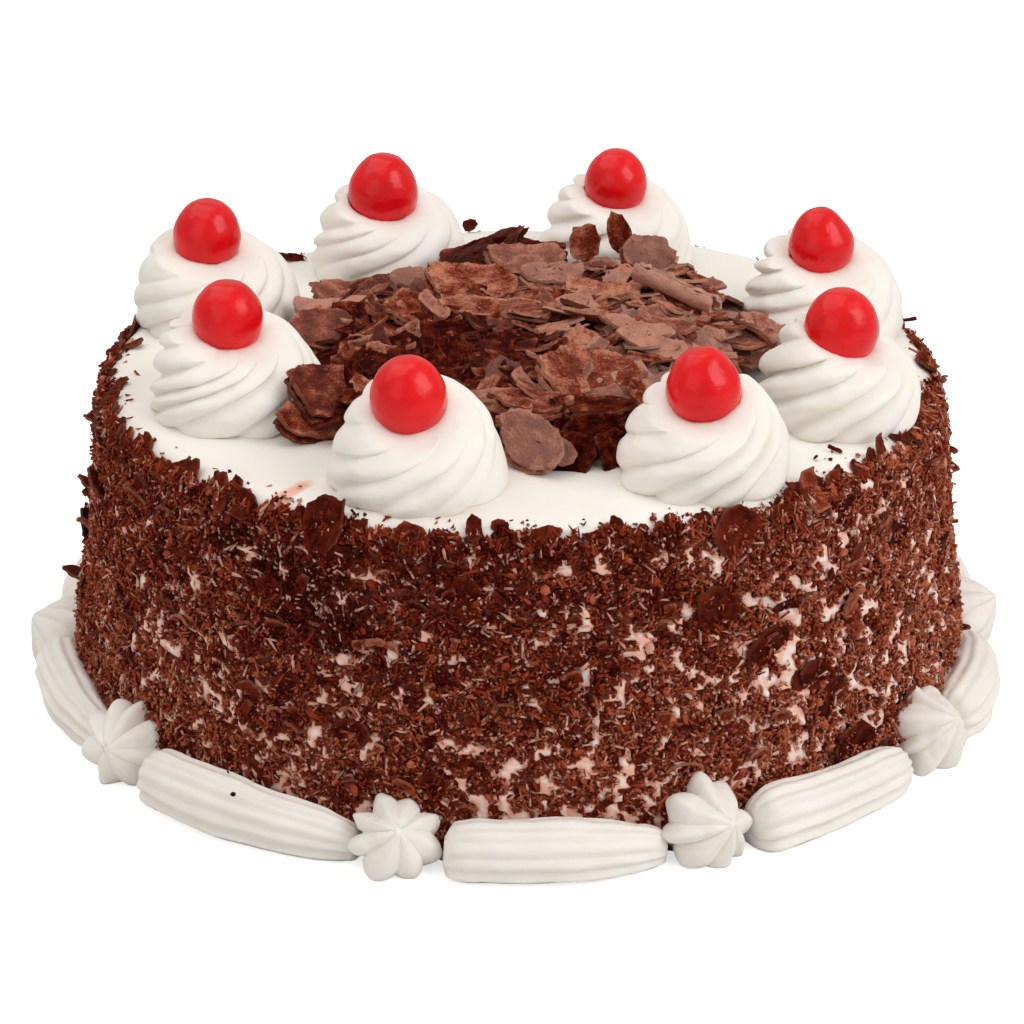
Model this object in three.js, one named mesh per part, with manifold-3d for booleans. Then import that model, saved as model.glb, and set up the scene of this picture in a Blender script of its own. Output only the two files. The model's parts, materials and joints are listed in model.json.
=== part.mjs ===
// A round black forest cake, uncut, in millimetres. Z is up and the cake stands on z = 0, centred on the Z axis.
// Angles run anticlockwise seen from above, in degrees, and 0 faces the front, which is -Y.
//
// A cream-coated body carries chocolate shavings all round its side. Eight piped swirls with a cherry each
// ring its top around a heap of chocolate flakes, and a border of ten piped logs and ten stars closes its foot.

import * as THREE from "three";
import { mergeVertices } from "three/addons/utils/BufferGeometryUtils.js";
import Module from "manifold-3d";

const wasm = await Module();
wasm.setup();

// Driving dimensions
const cakeHeight = 82;
const topRadius = 104.5;
const baseRadius = 112;
const gap = 0.3; // what separate pieces that touch keep between them
const swirlDome = 24.5; // height that the swirl's dome would reach without its cherry
const cherryTallness = 1.065; // a cherry's height over its width
const heapReach = 68;
const heapHeight = 13.5;
const borderHeight = 15;
const borderReach = 125;

const colours = {
  cream: { color: 0xf6f1e8, roughness: 0.55, metalness: 0 },
  cherry: { color: 0xd01522, roughness: 0.2, metalness: 0 },
  shavings: { color: 0x5a2618, roughness: 0.75, metalness: 0 },
  flakes: { color: 0x7a4636, roughness: 0.65, metalness: 0 },
};

const material = (name) => new THREE.MeshStandardMaterial(colours[name]);
const radians = THREE.MathUtils.degToRad;
const lerp = THREE.MathUtils.lerp;

// A repeatable draw from 0 to 1 for any number.
const draw = (n) => {
  const x = Math.sin(n * 12.9898 + 4.1) * 43758.5453;
  return x - Math.floor(x);
};
const between = (n, low, high) => low + (high - low) * draw(n);

// The point at that angle, distance from the Z axis and height.
const around = (degrees, radius, z) =>
  new THREE.Vector3(radius * Math.sin(radians(degrees)), -radius * Math.cos(radians(degrees)), z);

const wallRadius = (z) => lerp(baseRadius, topRadius, z / cakeHeight);

// ---- closed shapes

// A closed shape through rings of equally many points, with a fan over the first ring and over the last.
function loft(rings, firstCentre, lastCentre) {
  const count = rings[0].length;
  const points = [...rings.flat(), firstCentre, lastCentre];
  const faces = [];
  for (let j = 0; j < rings.length - 1; j++)
    for (let k = 0; k < count; k++) {
      const a = j * count + k;
      const b = j * count + ((k + 1) % count);
      faces.push(a, b, a + count, b, b + count, a + count);
    }
  const last = (rings.length - 1) * count;
  for (let k = 0; k < count; k++) {
    const next = (k + 1) % count;
    faces.push(next, k, points.length - 2);
    faces.push(last + k, last + next, points.length - 1);
  }
  return new THREE.BufferGeometry().setFromPoints(points).setIndex(faces);
}

// The geometry as a manifold-3d solid, once only positions are left, shared corners are merged and
// faces that the merge has flattened are dropped.
function solidOf(geometry) {
  const bare = geometry.clone();
  bare.deleteAttribute("normal");
  bare.deleteAttribute("uv");
  const merged = mergeVertices(bare, 1e-3);
  const corners = merged.index.array;
  const kept = [];
  for (let i = 0; i < corners.length; i += 3) {
    const [a, b, c] = [corners[i], corners[i + 1], corners[i + 2]];
    if (a !== b && b !== c && a !== c) kept.push(a, b, c);
  }
  const mesh = new wasm.Mesh({
    numProp: 3,
    vertProperties: new Float32Array(merged.attributes.position.array),
    triVerts: new Uint32Array(kept),
  });
  return new wasm.Manifold(mesh);
}

function geometryOf(solid) {
  const mesh = solid.getMesh();
  const positions = new THREE.BufferAttribute(new Float32Array(mesh.vertProperties), 3);
  const geometry = new THREE.BufferGeometry().setAttribute("position", positions);
  geometry.setIndex(new THREE.BufferAttribute(new Uint32Array(mesh.triVerts), 1));
  return geometry;
}

function named(name, geometry, materialName) {
  geometry.computeVertexNormals();
  const mesh = new THREE.Mesh(geometry, material(materialName));
  mesh.name = name;
  return mesh;
}

// Moves every corner of a geometry by a rule.
function reshape(geometry, rule) {
  const positions = geometry.attributes.position;
  const p = new THREE.Vector3();
  for (let i = 0; i < positions.count; i++) {
    p.fromBufferAttribute(positions, i);
    rule(p);
    positions.setXYZ(i, p.x, p.y, p.z);
  }
  return geometry;
}

// ---- piped swirls

// Where each swirl stands on the top: angle, distance of its axis from the cake's, its radius, how far its
// cherry sits to the right of that axis and forward of it, and the cherry's radius.
const swirls = {
  front_left: [-17.5, 79.7, 21.8, -1.7, 2.9, 9.1],
  front_right: [32.1, 82.5, 21.6, -0.5, 2.8, 9.05],
  right_front: [68.2, 84.3, 21.4, 0.3, 2.6, 9.25],
  right_back: [109.2, 83.3, 22, -1, 1, 8.6],
  back_right: [161, 80, 21.2, 0, 1.5, 8.5],
  back_left: [206.3, 77.2, 21.8, -1.9, 2.4, 9.5],
  left_back: [246.9, 85, 22, -2.3, 1, 8.9],
  left_front: [292.4, 74.8, 22.3, -2.1, -1.1, 8.85],
};
const swirlFlutes = 10;
const swirlTwist = 120; // degrees that the flutes turn on their way from foot to rim, faster near the top
const fluteDepth = 0.14; // of the radius, at the rim
const cherryLift = 23.4; // the cherry's centre above the cake's top
const cupGap = 0.5; // between the cup's facets and the cherry
const rimLow = -6.4; // height of the cup's rim from the cherry's centre, in front
const rimHigh = -1.2; // and at the back

// Heights of the swirl's rings as a share of the way from its foot to its rim.
const swirlRises = [0, 0.12, 0.3, 0.48, 0.66, 0.83, 1];

// The dome's radius at a share of its height, as a share of the swirl's: full below the middle, closing in
// round the cherry.
const domeFullness = (share) => (1 - share ** 2.6) ** (1 / 2.2);

// A fluted dome whose flutes climb anticlockwise. The cup in its top, open to the front, holds the cherry.
function swirl(start, radius, right, forward, fruitRadius) {
  const count = swirlFlutes * 2;
  const foot = cakeHeight + gap;
  const cherryAt = cakeHeight + cherryLift;
  const fruitHalf = fruitRadius * cherryTallness;
  const rimAt = (degrees) => lerp(rimHigh, rimLow, (1 + Math.cos(radians(degrees))) / 2);
  const angles = Array.from({ length: count }, (_, k) => start + (k * 360) / count);
  const rings = swirlRises.map((rise) =>
    angles.map((angle, k) => {
      const degrees = angle + swirlTwist * lerp(rise, rise ** 2, 0.4);
      const up = rise * (cherryLift + rimAt(degrees) - gap);
      const tuck = rise ? 1 : 0.93;
      const deep = k % 2 ? 1 - fluteDepth * lerp(0.5, 1, rise) : 1;
      const full = radius * tuck * deep * domeFullness(up / swirlDome);
      const dome = Math.max(full, fruitRadius + 2.6);
      const p = around(degrees, dome, foot + up);
      return p.add(new THREE.Vector3(right, -forward, 0).multiplyScalar(rise ** 2));
    }),
  );
  for (const depth of [0, 0.5, 1])
    rings.push(
      angles.map((angle) => {
        const degrees = angle + swirlTwist;
        const z = lerp(rimAt(degrees), -0.75 * fruitHalf, depth);
        const width = fruitRadius * Math.sqrt(1 - (z / fruitHalf) ** 2);
        const p = around(degrees, width + cupGap, cherryAt + z - 0.2);
        return p.add(new THREE.Vector3(right, -forward, 0));
      }),
    );
  const cupFloor = new THREE.Vector3(right, -forward, cherryAt - fruitHalf - 4 * cupGap);
  return loft(rings, new THREE.Vector3(0, 0, foot), cupFloor);
}

function cherry(radius) {
  const ball = new THREE.SphereGeometry(radius, 12, 8);
  return ball.rotateX(Math.PI / 2).scale(1, 1, cherryTallness);
}

// ---- border at the foot

const starAngles = [-13.8, 22.7, 60, 95, 131, 167, 203, 238, 271, 305.4];
const starRadius = 11.6;
const starFlutes = 8;
const starGroove = 0.7; // radius in the grooves, of the radius at the petals' tips
const starTilt = 34; // degrees that the star's nose points above level
const starHalfAngle = 6.1; // room that a star takes on either side of its own angle
const logPoints = 13; // points over the log's fluted back
const wallColumns = 60; // facets round the cake

// The corner between floor and wall that the border is piped into, as one solid to cut from it.
const corner = baseRadius + gap;
const cornerTop = 40;
const cornerProfile = [
  [0, -30],
  [2 * baseRadius, -30],
  [2 * baseRadius, 0],
  [corner, 0],
  [wallRadius(cornerTop) + gap, cornerTop],
  [0, cornerTop],
];
const cornerShape = new THREE.LatheGeometry(
  cornerProfile.map(([radius, z]) => new THREE.Vector2(radius, z)),
  wallColumns,
);
const cornerSolid = solidOf(cornerShape.rotateX(Math.PI / 2));

const largestOf = (solid) => solid.decompose().sort((a, b) => b.volume() - a.volume())[0];
const piped = (geometry) => geometryOf(largestOf(solidOf(geometry).subtract(cornerSolid)));

// How full the log is along its length: a blunt start and a tail that thins out.
const logFullness = [
  [0, 0.74],
  [0.07, 0.98],
  [0.4, 1],
  [0.78, 0.84],
  [1, 0.55],
];

// A fluted half-round of cream piped along the corner between the wall and the floor.
function borderLog(startAngle, endAngle, seed) {
  const full = between(seed, 0.95, 1.03);
  const rings = logFullness.map(([along, fullness]) => {
    const angle = lerp(startAngle, endAngle, along);
    const size = full * fullness;
    const ring = [];
    for (let k = 0; k < logPoints; k++) {
      const slope = radians(lerp(-45, 160, k / (logPoints - 1)));
      const deep = k % 2 ? 0.93 : 1.02;
      const out = (borderReach - corner) * (0.5 + 0.58 * Math.cos(slope) * deep);
      const up = borderHeight * (0.4 + 0.6 * Math.sin(slope) * deep);
      ring.push(around(angle, corner + out * size, up * size));
    }
    ring.push(around(angle, corner - 4, 8 * size), around(angle, corner - 4, -3));
    ring.push(around(angle, corner + 5 * size, -3));
    return ring.reverse();
  });
  const capAt = (angle) => around(angle, corner + 2, 0.4 * borderHeight * full);
  return piped(loft(rings, capAt(startAngle), capAt(endAngle)));
}

// The star's outline from its root in the corner to its nose: [share of its radius, distance along its axis].
const starOutline = [
  [0.8, -8.5],
  [1, -1.5],
  [0.8, 3.8],
  [0.38, 7],
];

// A fluted drop piped into the corner, its nose pointing out and up.
function borderStar(angle, seed) {
  const count = starFlutes * 2;
  const size = between(seed, 0.95, 1.03);
  const spin = between(seed + 1, 0, 45);
  const axis = new THREE.Vector3(0, -Math.cos(radians(starTilt)), Math.sin(radians(starTilt)));
  const up = new THREE.Vector3(0, Math.sin(radians(starTilt)), Math.cos(radians(starTilt)));
  const side = new THREE.Vector3(1, 0, 0);
  const middle = new THREE.Vector3(0, -(baseRadius + 6.6), 9.4);
  const turned = (p) => p.applyAxisAngle(new THREE.Vector3(0, 0, 1), radians(angle));
  const rings = starOutline.map(([share, along]) =>
    Array.from({ length: count }, (_, k) => {
      const radius = starRadius * size * share * (k % 2 ? starGroove : 1);
      const turn = radians(spin + (k * 360) / count);
      const p = middle.clone().addScaledVector(axis, along * size);
      p.addScaledVector(side, radius * Math.cos(turn)).addScaledVector(up, radius * Math.sin(turn));
      return turned(p);
    }),
  );
  const root = middle.clone().addScaledVector(axis, -9);
  const nose = middle.clone().addScaledVector(axis, 8.6 * size);
  return piped(loft(rings, turned(root), turned(nose)));
}

// ---- chocolate

// A thin plate of chocolate, bent along its length, lying flat and centred on the origin.
function plate(length, width, thickness, bend, taper) {
  const box = new THREE.BoxGeometry(length, width, thickness, 2, 1, 1);
  return reshape(box, (p) => {
    const along = (2 * p.x) / length;
    p.y *= 1 - taper * (along > 0 ? along : 0);
    p.z += bend * (1 - along * along);
  });
}

// ---- cake body

const wallRows = 7; // rows of crumb relief
const plainTo = 20; // the wall is plain behind the border
const reliefFrom = 23;
const edgeRound = 5; // rounding of the top edge
const crumbRelief = 2;
const wallFlakes = 24;

// Flakes that stand out of the side: [angle, height, width, length, how far it leans off the wall in degrees].
const boldFlakes = [
  [-25, 80, 11, 15, 8],
  [27.5, 76, 14, 12, 10],
  [40, 79.5, 4.5, 13, 4],
  [-73, 61, 12, 16, 38],
  [-93, 39, 7, 18, 24],
  [-97, 80, 4, 13, 24],
  [97, 52, 6, 15, 16],
  [150, 78, 12, 12, 8],
  [-160, 70, 13, 14, 10],
];

function wallPlate(angle, height, width, length, lean, spin) {
  const flake = plate(length, width, 1.6, 1, 0.3);
  flake.rotateZ(radians(spin)); // its length runs along the wall at that spin from level
  flake.rotateX(radians(90 + lean)); // stands with its foot in the wall and its head off it
  const middle = around(0, wallRadius(height) + 0.3 + 0.4 * length * Math.sin(radians(lean)), height);
  flake.translate(middle.x, middle.y, middle.z).rotateZ(radians(angle));
  return solidOf(flake);
}

function cakeBody() {
  const profile = [new THREE.Vector2(0, 0), new THREE.Vector2(baseRadius, 0)];
  profile.push(new THREE.Vector2(wallRadius(plainTo), plainTo));
  const reliefTo = cakeHeight - edgeRound + 1;
  const rowHeights = Array.from({ length: wallRows }, (_, j) =>
    lerp(reliefFrom, reliefTo, j / (wallRows - 1)),
  );
  for (const z of rowHeights) profile.push(new THREE.Vector2(wallRadius(z), z));
  profile.push(new THREE.Vector2(topRadius - 0.3 * edgeRound, cakeHeight - 0.2 * edgeRound));
  profile.push(new THREE.Vector2(topRadius - edgeRound, cakeHeight));
  profile.push(new THREE.Vector2(0, cakeHeight));
  const core = new THREE.LatheGeometry(profile, wallColumns);
  core.rotateX(Math.PI / 2);
  reshape(core, (p) => {
    const radius = Math.hypot(p.x, p.y);
    if (p.z < reliefFrom - 1 || p.z > reliefTo + 1 || radius < topRadius - 3) return;
    const column = Math.round((Math.atan2(p.y, p.x) / (2 * Math.PI)) * wallColumns + wallColumns);
    const row = Math.round(p.z);
    const bump = crumbRelief * draw((column % wallColumns) * 7.3 + row * 1.9);
    p.x *= 1 + bump / radius;
    p.y *= 1 + bump / radius;
  });
  let body = solidOf(core);
  for (const [angle, height, width, length, lean] of boldFlakes)
    body = body.add(wallPlate(angle, height, width, length, lean, 90));
  for (let i = 0; i < wallFlakes; i++) {
    const angle = i * 137.508;
    const height = lerp(31, 68, draw(i + 0.5));
    const spin = between(i + 40, 0, 180);
    const width = between(i + 80, 4.5, 8);
    const length = between(i + 120, 7, 11);
    body = body.add(wallPlate(angle, height, width, length, between(i + 160, 2, 9), spin));
  }
  return geometryOf(body);
}

// ---- heap of flakes on the top

const heapColumns = 24;
const heapFlakes = 40;
const flakeThickness = 1.3;
const coreDrop = 1.5; // the core lies that much below the heap's outline, which its flakes make up

const swirlStands = Object.values(swirls).map(([angle, distance, radius]) => ({
  axis: around(angle, distance, 0),
  radius,
}));

// How far the heap reaches at that angle before it meets a swirl or its own edge.
function heapEdge(degrees, clearance) {
  let reach = heapReach;
  const near = (distance) => {
    const p = around(degrees, distance, 0);
    return Math.min(...swirlStands.map((stand) => stand.axis.distanceTo(p) - stand.radius));
  };
  while (near(reach) < clearance) reach -= 0.5;
  return reach;
}

// The heap's height at a share of the way from its middle to its edge.
const heapRise = (share) => heapHeight * (1 - share ** 3.2) ** 0.6;

// Standing flakes: [angle, distance from the axis, how far they stand above the cream, width, length, lean, heading].
const standingFlakes = [
  [193, 42, 17, 9, 26, 24, 196],
  [154, 50, 17, 10, 13, 62, 40],
  [146, 55, 15, 8, 12, 70, 350],
  [100, 46, 13, 13, 24, 20, 120],
  [20, 8, 14.5, 17, 24, 18, 215],
  [235, 30, 14, 15, 24, 16, 300],
];

function heapPlate(angle, radius, rise, width, length, lean, heading, bend) {
  const flake = plate(length, width, flakeThickness, bend, 0.45);
  flake.rotateY(radians(-lean)).rotateZ(radians(heading));
  const at = around(angle, radius, cakeHeight + rise);
  flake.translate(at.x, at.y, at.z).computeBoundingBox();
  return flake.translate(0, 0, Math.max(0, cakeHeight + 2 * gap - flake.boundingBox.min.z));
}

// True if the flake keeps off the swirls.
function clears(flake) {
  const positions = flake.attributes.position;
  for (let i = 0; i < positions.count; i++) {
    const p = new THREE.Vector3().fromBufferAttribute(positions, i).setZ(0);
    if (swirlStands.some((stand) => stand.axis.distanceTo(p) < stand.radius + 1.2)) return false;
  }
  return true;
}

function flakeHeap() {
  const foot = cakeHeight + gap;
  const shares = [1, 0.88, 0.6, 0.3];
  const rings = shares.map((share, j) =>
    Array.from({ length: heapColumns }, (_, k) => {
      const degrees = (k * 360) / heapColumns;
      const rough = between(k * 5.1 + j, -0.7, 0.4);
      const rise = j ? Math.max(heapRise(share) - coreDrop + rough, 1.5) : 0;
      return around(degrees, heapEdge(degrees, 1.6) * share * 0.95, foot + rise);
    }),
  );
  const top = new THREE.Vector3(0, 0, foot + heapRise(0) - coreDrop);
  let heap = solidOf(loft(rings, new THREE.Vector3(0, 0, foot), top));
  for (const [angle, radius, rise, width, length, lean, heading] of standingFlakes) {
    const flake = heapPlate(angle, radius, rise, width, length, lean, heading, 1);
    if (clears(flake)) heap = heap.add(solidOf(flake));
  }
  for (let i = 0; i < heapFlakes; i++) {
    const share = Math.sqrt((i + 0.5) / heapFlakes);
    const angle = i * 137.508;
    const width = between(i + 300, 9, 15);
    const length = between(i + 340, 14, 24);
    const lean = between(i + 380, -14, 14);
    const heading = between(i + 420, 0, 360);
    const bend = between(i + 460, 0.4, 2);
    for (let radius = heapEdge(angle, 3) * share; radius > 0; radius -= 2) {
      const rise = heapRise(radius / heapEdge(angle, 0)) - 1;
      const flake = heapPlate(angle, radius, rise, width, length, lean, heading, bend);
      if (!clears(flake)) continue;
      heap = heap.add(solidOf(flake));
      break;
    }
  }
  return geometryOf(largestOf(heap));
}

// ---- the whole cake

const cake = new THREE.Group();
cake.add(named("cake_body", cakeBody(), "shavings"));
cake.add(named("flake_heap", flakeHeap(), "flakes"));

Object.entries(swirls).forEach(([place, [angle, distance, radius, right, forward, fruitRadius]], i) => {
  const stand = new THREE.Group();
  stand.position.copy(around(angle, distance, 0));
  const start = between(i + 500, 0, 360);
  const cream = named(`swirl_${place}`, swirl(start, radius, right, forward, fruitRadius), "cream");
  const fruit = named(`cherry_${place}`, cherry(fruitRadius), "cherry");
  fruit.position.set(right, -forward, cakeHeight + cherryLift);
  stand.add(cream, fruit);
  cake.add(stand);
});

starAngles.forEach((angle, i) => {
  const label = String(i + 1).padStart(2, "0");
  const nextAngle = i + 1 < starAngles.length ? starAngles[i + 1] : starAngles[0] + 360;
  const [start, end] = [angle + starHalfAngle, nextAngle - starHalfAngle];
  cake.add(named(`star_${label}`, borderStar(angle, i + 540), "cream"));
  cake.add(named(`log_${label}`, borderLog(start, end, i + 560), "cream"));
});

export default cake;
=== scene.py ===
import json
import math
import bmesh
import bpy
import numpy as np
from mathutils import Matrix, Vector, noise
from mathutils.bvhtree import BVHTree

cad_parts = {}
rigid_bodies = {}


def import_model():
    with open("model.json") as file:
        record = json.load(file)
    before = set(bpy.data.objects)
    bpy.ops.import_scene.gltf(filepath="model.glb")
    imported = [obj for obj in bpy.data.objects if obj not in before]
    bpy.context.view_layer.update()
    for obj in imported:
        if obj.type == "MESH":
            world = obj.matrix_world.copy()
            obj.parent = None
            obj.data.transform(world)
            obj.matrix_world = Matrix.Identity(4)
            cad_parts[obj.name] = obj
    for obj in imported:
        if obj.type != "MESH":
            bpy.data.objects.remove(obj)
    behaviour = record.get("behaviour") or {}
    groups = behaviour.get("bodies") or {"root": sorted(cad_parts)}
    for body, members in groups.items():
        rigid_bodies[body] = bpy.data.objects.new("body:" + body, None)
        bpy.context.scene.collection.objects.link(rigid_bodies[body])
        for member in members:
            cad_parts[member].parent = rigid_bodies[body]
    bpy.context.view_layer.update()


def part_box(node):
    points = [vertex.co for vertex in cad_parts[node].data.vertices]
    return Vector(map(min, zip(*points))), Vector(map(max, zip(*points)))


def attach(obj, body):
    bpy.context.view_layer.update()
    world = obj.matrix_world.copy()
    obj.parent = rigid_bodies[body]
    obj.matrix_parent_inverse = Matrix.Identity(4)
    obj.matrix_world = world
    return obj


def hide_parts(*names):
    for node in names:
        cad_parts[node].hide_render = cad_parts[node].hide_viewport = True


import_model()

# A black forest cake. Sizes in the dictionaries are millimetres unless a note says otherwise, angles are
# degrees, and round the cake they run anticlockwise from the front as seen from above.
mm = 0.001
body = "root"  # the one body that the whole cake is
origin = (0, 0, 0)

cake = {
    "height": 82,
    "topRadius": 104.5,
    "baseRadius": 112,
    "rimRound": 6,
    "heapReach": 68,
    "heapHeight": 13.5,
}


def draw(number):
    # a repeatable draw from 0 to 1 for any number
    x = math.sin(number * 12.9898 + 4.1) * 43758.5453
    return x - math.floor(x)


def between(number, low, high):
    return low + (high - low) * draw(number)


def mix(low, high, share):
    return low + (high - low) * share


def clamped(value):
    # held between 0 and 1
    return min(1, max(0, value))


def around(degrees, radius, height):
    turn = math.radians(degrees)
    return Vector((radius * math.sin(turn), -radius * math.cos(turn), height))


def angleOf(place):
    return math.degrees(math.atan2(place.x, -place.y))


def clouds(place, size, shift=origin):
    # soft random clouds of that size, from about -0.7 to 0.7
    return noise.noise(place / size + Vector(shift))


def wallRadius(height):
    return mix(cake["baseRadius"], cake["topRadius"], height / cake["height"])


# Modelling helpers

def clearSelection():
    bpy.ops.object.select_all(action="DESELECT")


def take(piece):
    clearSelection()
    piece.select_set(True)
    bpy.context.view_layer.objects.active = piece


def startEdit():
    bpy.ops.object.mode_set(mode="EDIT")
    bpy.ops.mesh.select_mode(type="VERT")
    selectAll()


def endEdit():
    bpy.ops.object.mode_set(mode="OBJECT")


def selectAll():
    bpy.ops.mesh.select_all(action="SELECT")


def turnPicked(angle, axis="Z", centre=origin):
    # with no window the operator turns clockwise for an angle above 0
    bpy.ops.transform.rotate(value=angle, orient_axis=axis, center_override=centre)


def sizePicked(factors, centre=origin):
    bpy.ops.transform.resize(value=factors, center_override=centre)


def movePicked(step):
    bpy.ops.transform.translate(value=step)


def extrudePicked(step):
    bpy.ops.mesh.extrude_region_move(TRANSFORM_OT_translate={"value": step})


def softly(reach):
    # settings that carry a move on to what lies within reach
    return {"use_proportional_edit": True, "proportional_edit_falloff": "SMOOTH", "proportional_size": reach}


def pick(test):
    # selects the corners that pass a test, while in edit mode
    mesh = bpy.context.object.data
    shape = bmesh.from_edit_mesh(mesh)
    shape.verts.ensure_lookup_table()
    for vertex in shape.verts:
        vertex.select_set(test(vertex))
    shape.select_flush_mode()
    bmesh.update_edit_mesh(mesh)


def applyModifiers(piece):
    take(piece)
    for modifier in list(piece.modifiers):
        bpy.ops.object.modifier_apply(modifier=modifier.name)


def smoothPiece(piece, levels):
    modifier = piece.modifiers.new("smooth", "SUBSURF")
    modifier.levels = levels
    modifier.render_levels = levels


def roughen(piece, size, strength, group="", way="NORMAL"):
    # pushes the surface in and out, or all ways, by a soft random pattern; size and strength in millimetres
    pattern = bpy.data.textures.new(f"{piece.name}Relief", "CLOUDS")
    pattern.cloud_type = "GRAYSCALE" if way == "NORMAL" else "COLOR"
    pattern.noise_scale = size * mm
    modifier = piece.modifiers.new("relief", "DISPLACE")
    modifier.texture = pattern
    modifier.texture_coords = "LOCAL"
    modifier.strength = strength * mm
    modifier.mid_level = 0.5
    modifier.direction = way
    modifier.vertex_group = group


def closeShape():
    selectAll()
    bpy.ops.mesh.remove_doubles(threshold=0.004 * mm)
    bpy.ops.mesh.normals_make_consistent(inside=False)


def spinOutline(name, outline, steps):
    # a round shape from its outline, drawn corner by corner as (distance from the axis, height) and spun
    clearSelection()
    bpy.ops.mesh.primitive_plane_add(size=mm)
    piece = bpy.context.object
    piece.name = name
    startEdit()
    bpy.ops.mesh.merge(type="CENTER")
    last = Vector(outline[0])
    movePicked((last.x * mm, 0, last.y * mm))
    for corner in outline[1:]:
        step = Vector(corner) - last
        bpy.ops.mesh.extrude_vertices_move(TRANSFORM_OT_translate={"value": (step.x * mm, 0, step.y * mm)})
        last = Vector(corner)
    selectAll()
    bpy.ops.mesh.spin(steps=steps, angle=math.tau, center=origin, axis=(0, 0, 1))
    closeShape()
    endEdit()
    return piece


def setMark(mesh, mark, values, kind="FLOAT"):
    field = "vector" if kind == "FLOAT_VECTOR" else "value"
    mesh.attributes.new(mark, kind, "POINT").data.foreach_set(field, values)


def finish(piece, slot, *nodes):
    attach(piece, body)
    for node in nodes:
        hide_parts(node)


def discard(piece):
    bpy.data.objects.remove(piece, do_unlink=True)


# Scattering: many copies of a few small shapes become one mesh

def shapeOf(piece):
    # corners in millimetres, triangles, their material numbers, and how near each corner is to an edge
    mesh = piece.data
    mesh.calc_loop_triangles()
    corners = np.empty(len(mesh.vertices) * 3)
    mesh.vertices.foreach_get("co", corners)
    triangles = np.empty(len(mesh.loop_triangles) * 3, np.int32)
    mesh.loop_triangles.foreach_get("vertices", triangles)
    finishes = np.array([mesh.polygons[t.polygon_index].material_index for t in mesh.loop_triangles])
    edges = np.array([v.groups[0].weight if v.groups else 0.0 for v in mesh.vertices])
    return corners.reshape(-1, 3) / mm, triangles.reshape(-1, 3), finishes, edges


def scatter(name, shapes, kinds, spots, turns, looks, materials):
    # kinds: which shape each copy has; spots: where, in mm; turns: 3x3 matrices with the size in them;
    # looks: (tone, bloom) of each copy, kept as attributes with the copy's own coordinates
    points, faces, finishes, grains = [], [], [], []
    marks = {"tone": [], "bloom": [], "edge": []}
    start = 0
    for kind, (corners, triangles, numbers, edges) in enumerate(shapes):
        mine = np.flatnonzero(kinds == kind)
        if not len(mine):
            continue
        placed = np.einsum("nij,vj->nvi", turns[mine], corners) + spots[mine][:, None, :]
        points.append(placed.reshape(-1, 3) * mm)
        offsets = start + np.arange(len(mine)) * len(corners)
        faces.append((triangles[None] + offsets[:, None, None]).reshape(-1, 3))
        finishes.append(np.tile(numbers, len(mine)))
        marks["tone"].append(np.repeat(looks[mine, 0], len(corners)))
        marks["bloom"].append(np.repeat(looks[mine, 1], len(corners)))
        marks["edge"].append(np.tile(edges, len(mine)))
        shift = np.stack([mine * 7.31 % 97, mine * 3.77 % 89, mine * 1.13 % 83], 1)
        grains.append((corners[None] + shift[:, None, :]).reshape(-1, 3))
        start += len(mine) * len(corners)
    points, faces, finishes = np.concatenate(points), np.concatenate(faces), np.concatenate(finishes)
    mesh = bpy.data.meshes.new(name)
    mesh.vertices.add(len(points))
    mesh.vertices.foreach_set("co", points.ravel())
    mesh.loops.add(faces.size)
    mesh.loops.foreach_set("vertex_index", faces.ravel().astype(np.int32))
    mesh.polygons.add(len(faces))
    mesh.polygons.foreach_set("loop_start", np.arange(0, faces.size, 3, dtype=np.int32))
    for material in materials:
        mesh.materials.append(material)
    mesh.polygons.foreach_set("material_index", finishes.astype(np.int32))
    mesh.update(calc_edges=True)
    for mark, values in marks.items():
        setMark(mesh, mark, np.concatenate(values))
    setMark(mesh, "grain", np.concatenate(grains).ravel(), "FLOAT_VECTOR")
    piece = bpy.data.objects.new(name, mesh)
    bpy.context.scene.collection.objects.link(piece)
    print(f"{name}: {len(kinds)} pieces, {len(faces)} triangles")
    return piece


def rotations(axis, degrees):
    # one 3x3 turn about a main axis for each angle
    c, s = np.cos(np.radians(degrees)), np.sin(np.radians(degrees))
    turned = np.zeros((len(c), 3, 3))
    a, b = [(1, 2), (2, 0), (0, 1)][axis]
    turned[:, axis, axis] = 1
    turned[:, a, a], turned[:, b, b] = c, c
    turned[:, a, b], turned[:, b, a] = -s, s
    return turned


def stretched(turns, sizes):
    return turns * np.asarray(sizes)[:, None, :]


# Finishes

def newFinish(name):
    material = bpy.data.materials.new(name)
    material.use_nodes = True
    tree = material.node_tree
    return material, tree, tree.nodes["Principled BSDF"]


def addNode(tree, kind, **settings):
    node = tree.nodes.new(kind)
    for key, value in settings.items():
        setattr(node, key, value)
    return node


def setInputs(node, **values):
    for key, value in values.items():
        node.inputs[key.replace("_", " ")].default_value = value


def ramp(tree, stops):
    node = addNode(tree, "ShaderNodeValToRGB")
    elements = node.color_ramp.elements
    while len(elements) < len(stops):
        elements.new(0.5)
    for element, (position, colour) in zip(elements, stops):
        element.position = position
        element.color = (*colour, 1) if len(colour) == 3 else colour
    return node


def newGroup(name, inputs, outputs):
    tree = bpy.data.node_groups.new(name, "ShaderNodeTree")
    for socket, kind, value in inputs:
        made = tree.interface.new_socket(socket, in_out="INPUT", socket_type=kind)
        if value is not None:
            made.default_value = value
    for socket, kind in outputs:
        tree.interface.new_socket(socket, in_out="OUTPUT", socket_type=kind)
    return tree, tree.nodes.new("NodeGroupInput"), tree.nodes.new("NodeGroupOutput")


def placeGroup(tree, group, **values):
    node = tree.nodes.new("ShaderNodeGroup")
    node.node_tree = group
    setInputs(node, **values)
    return node


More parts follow.
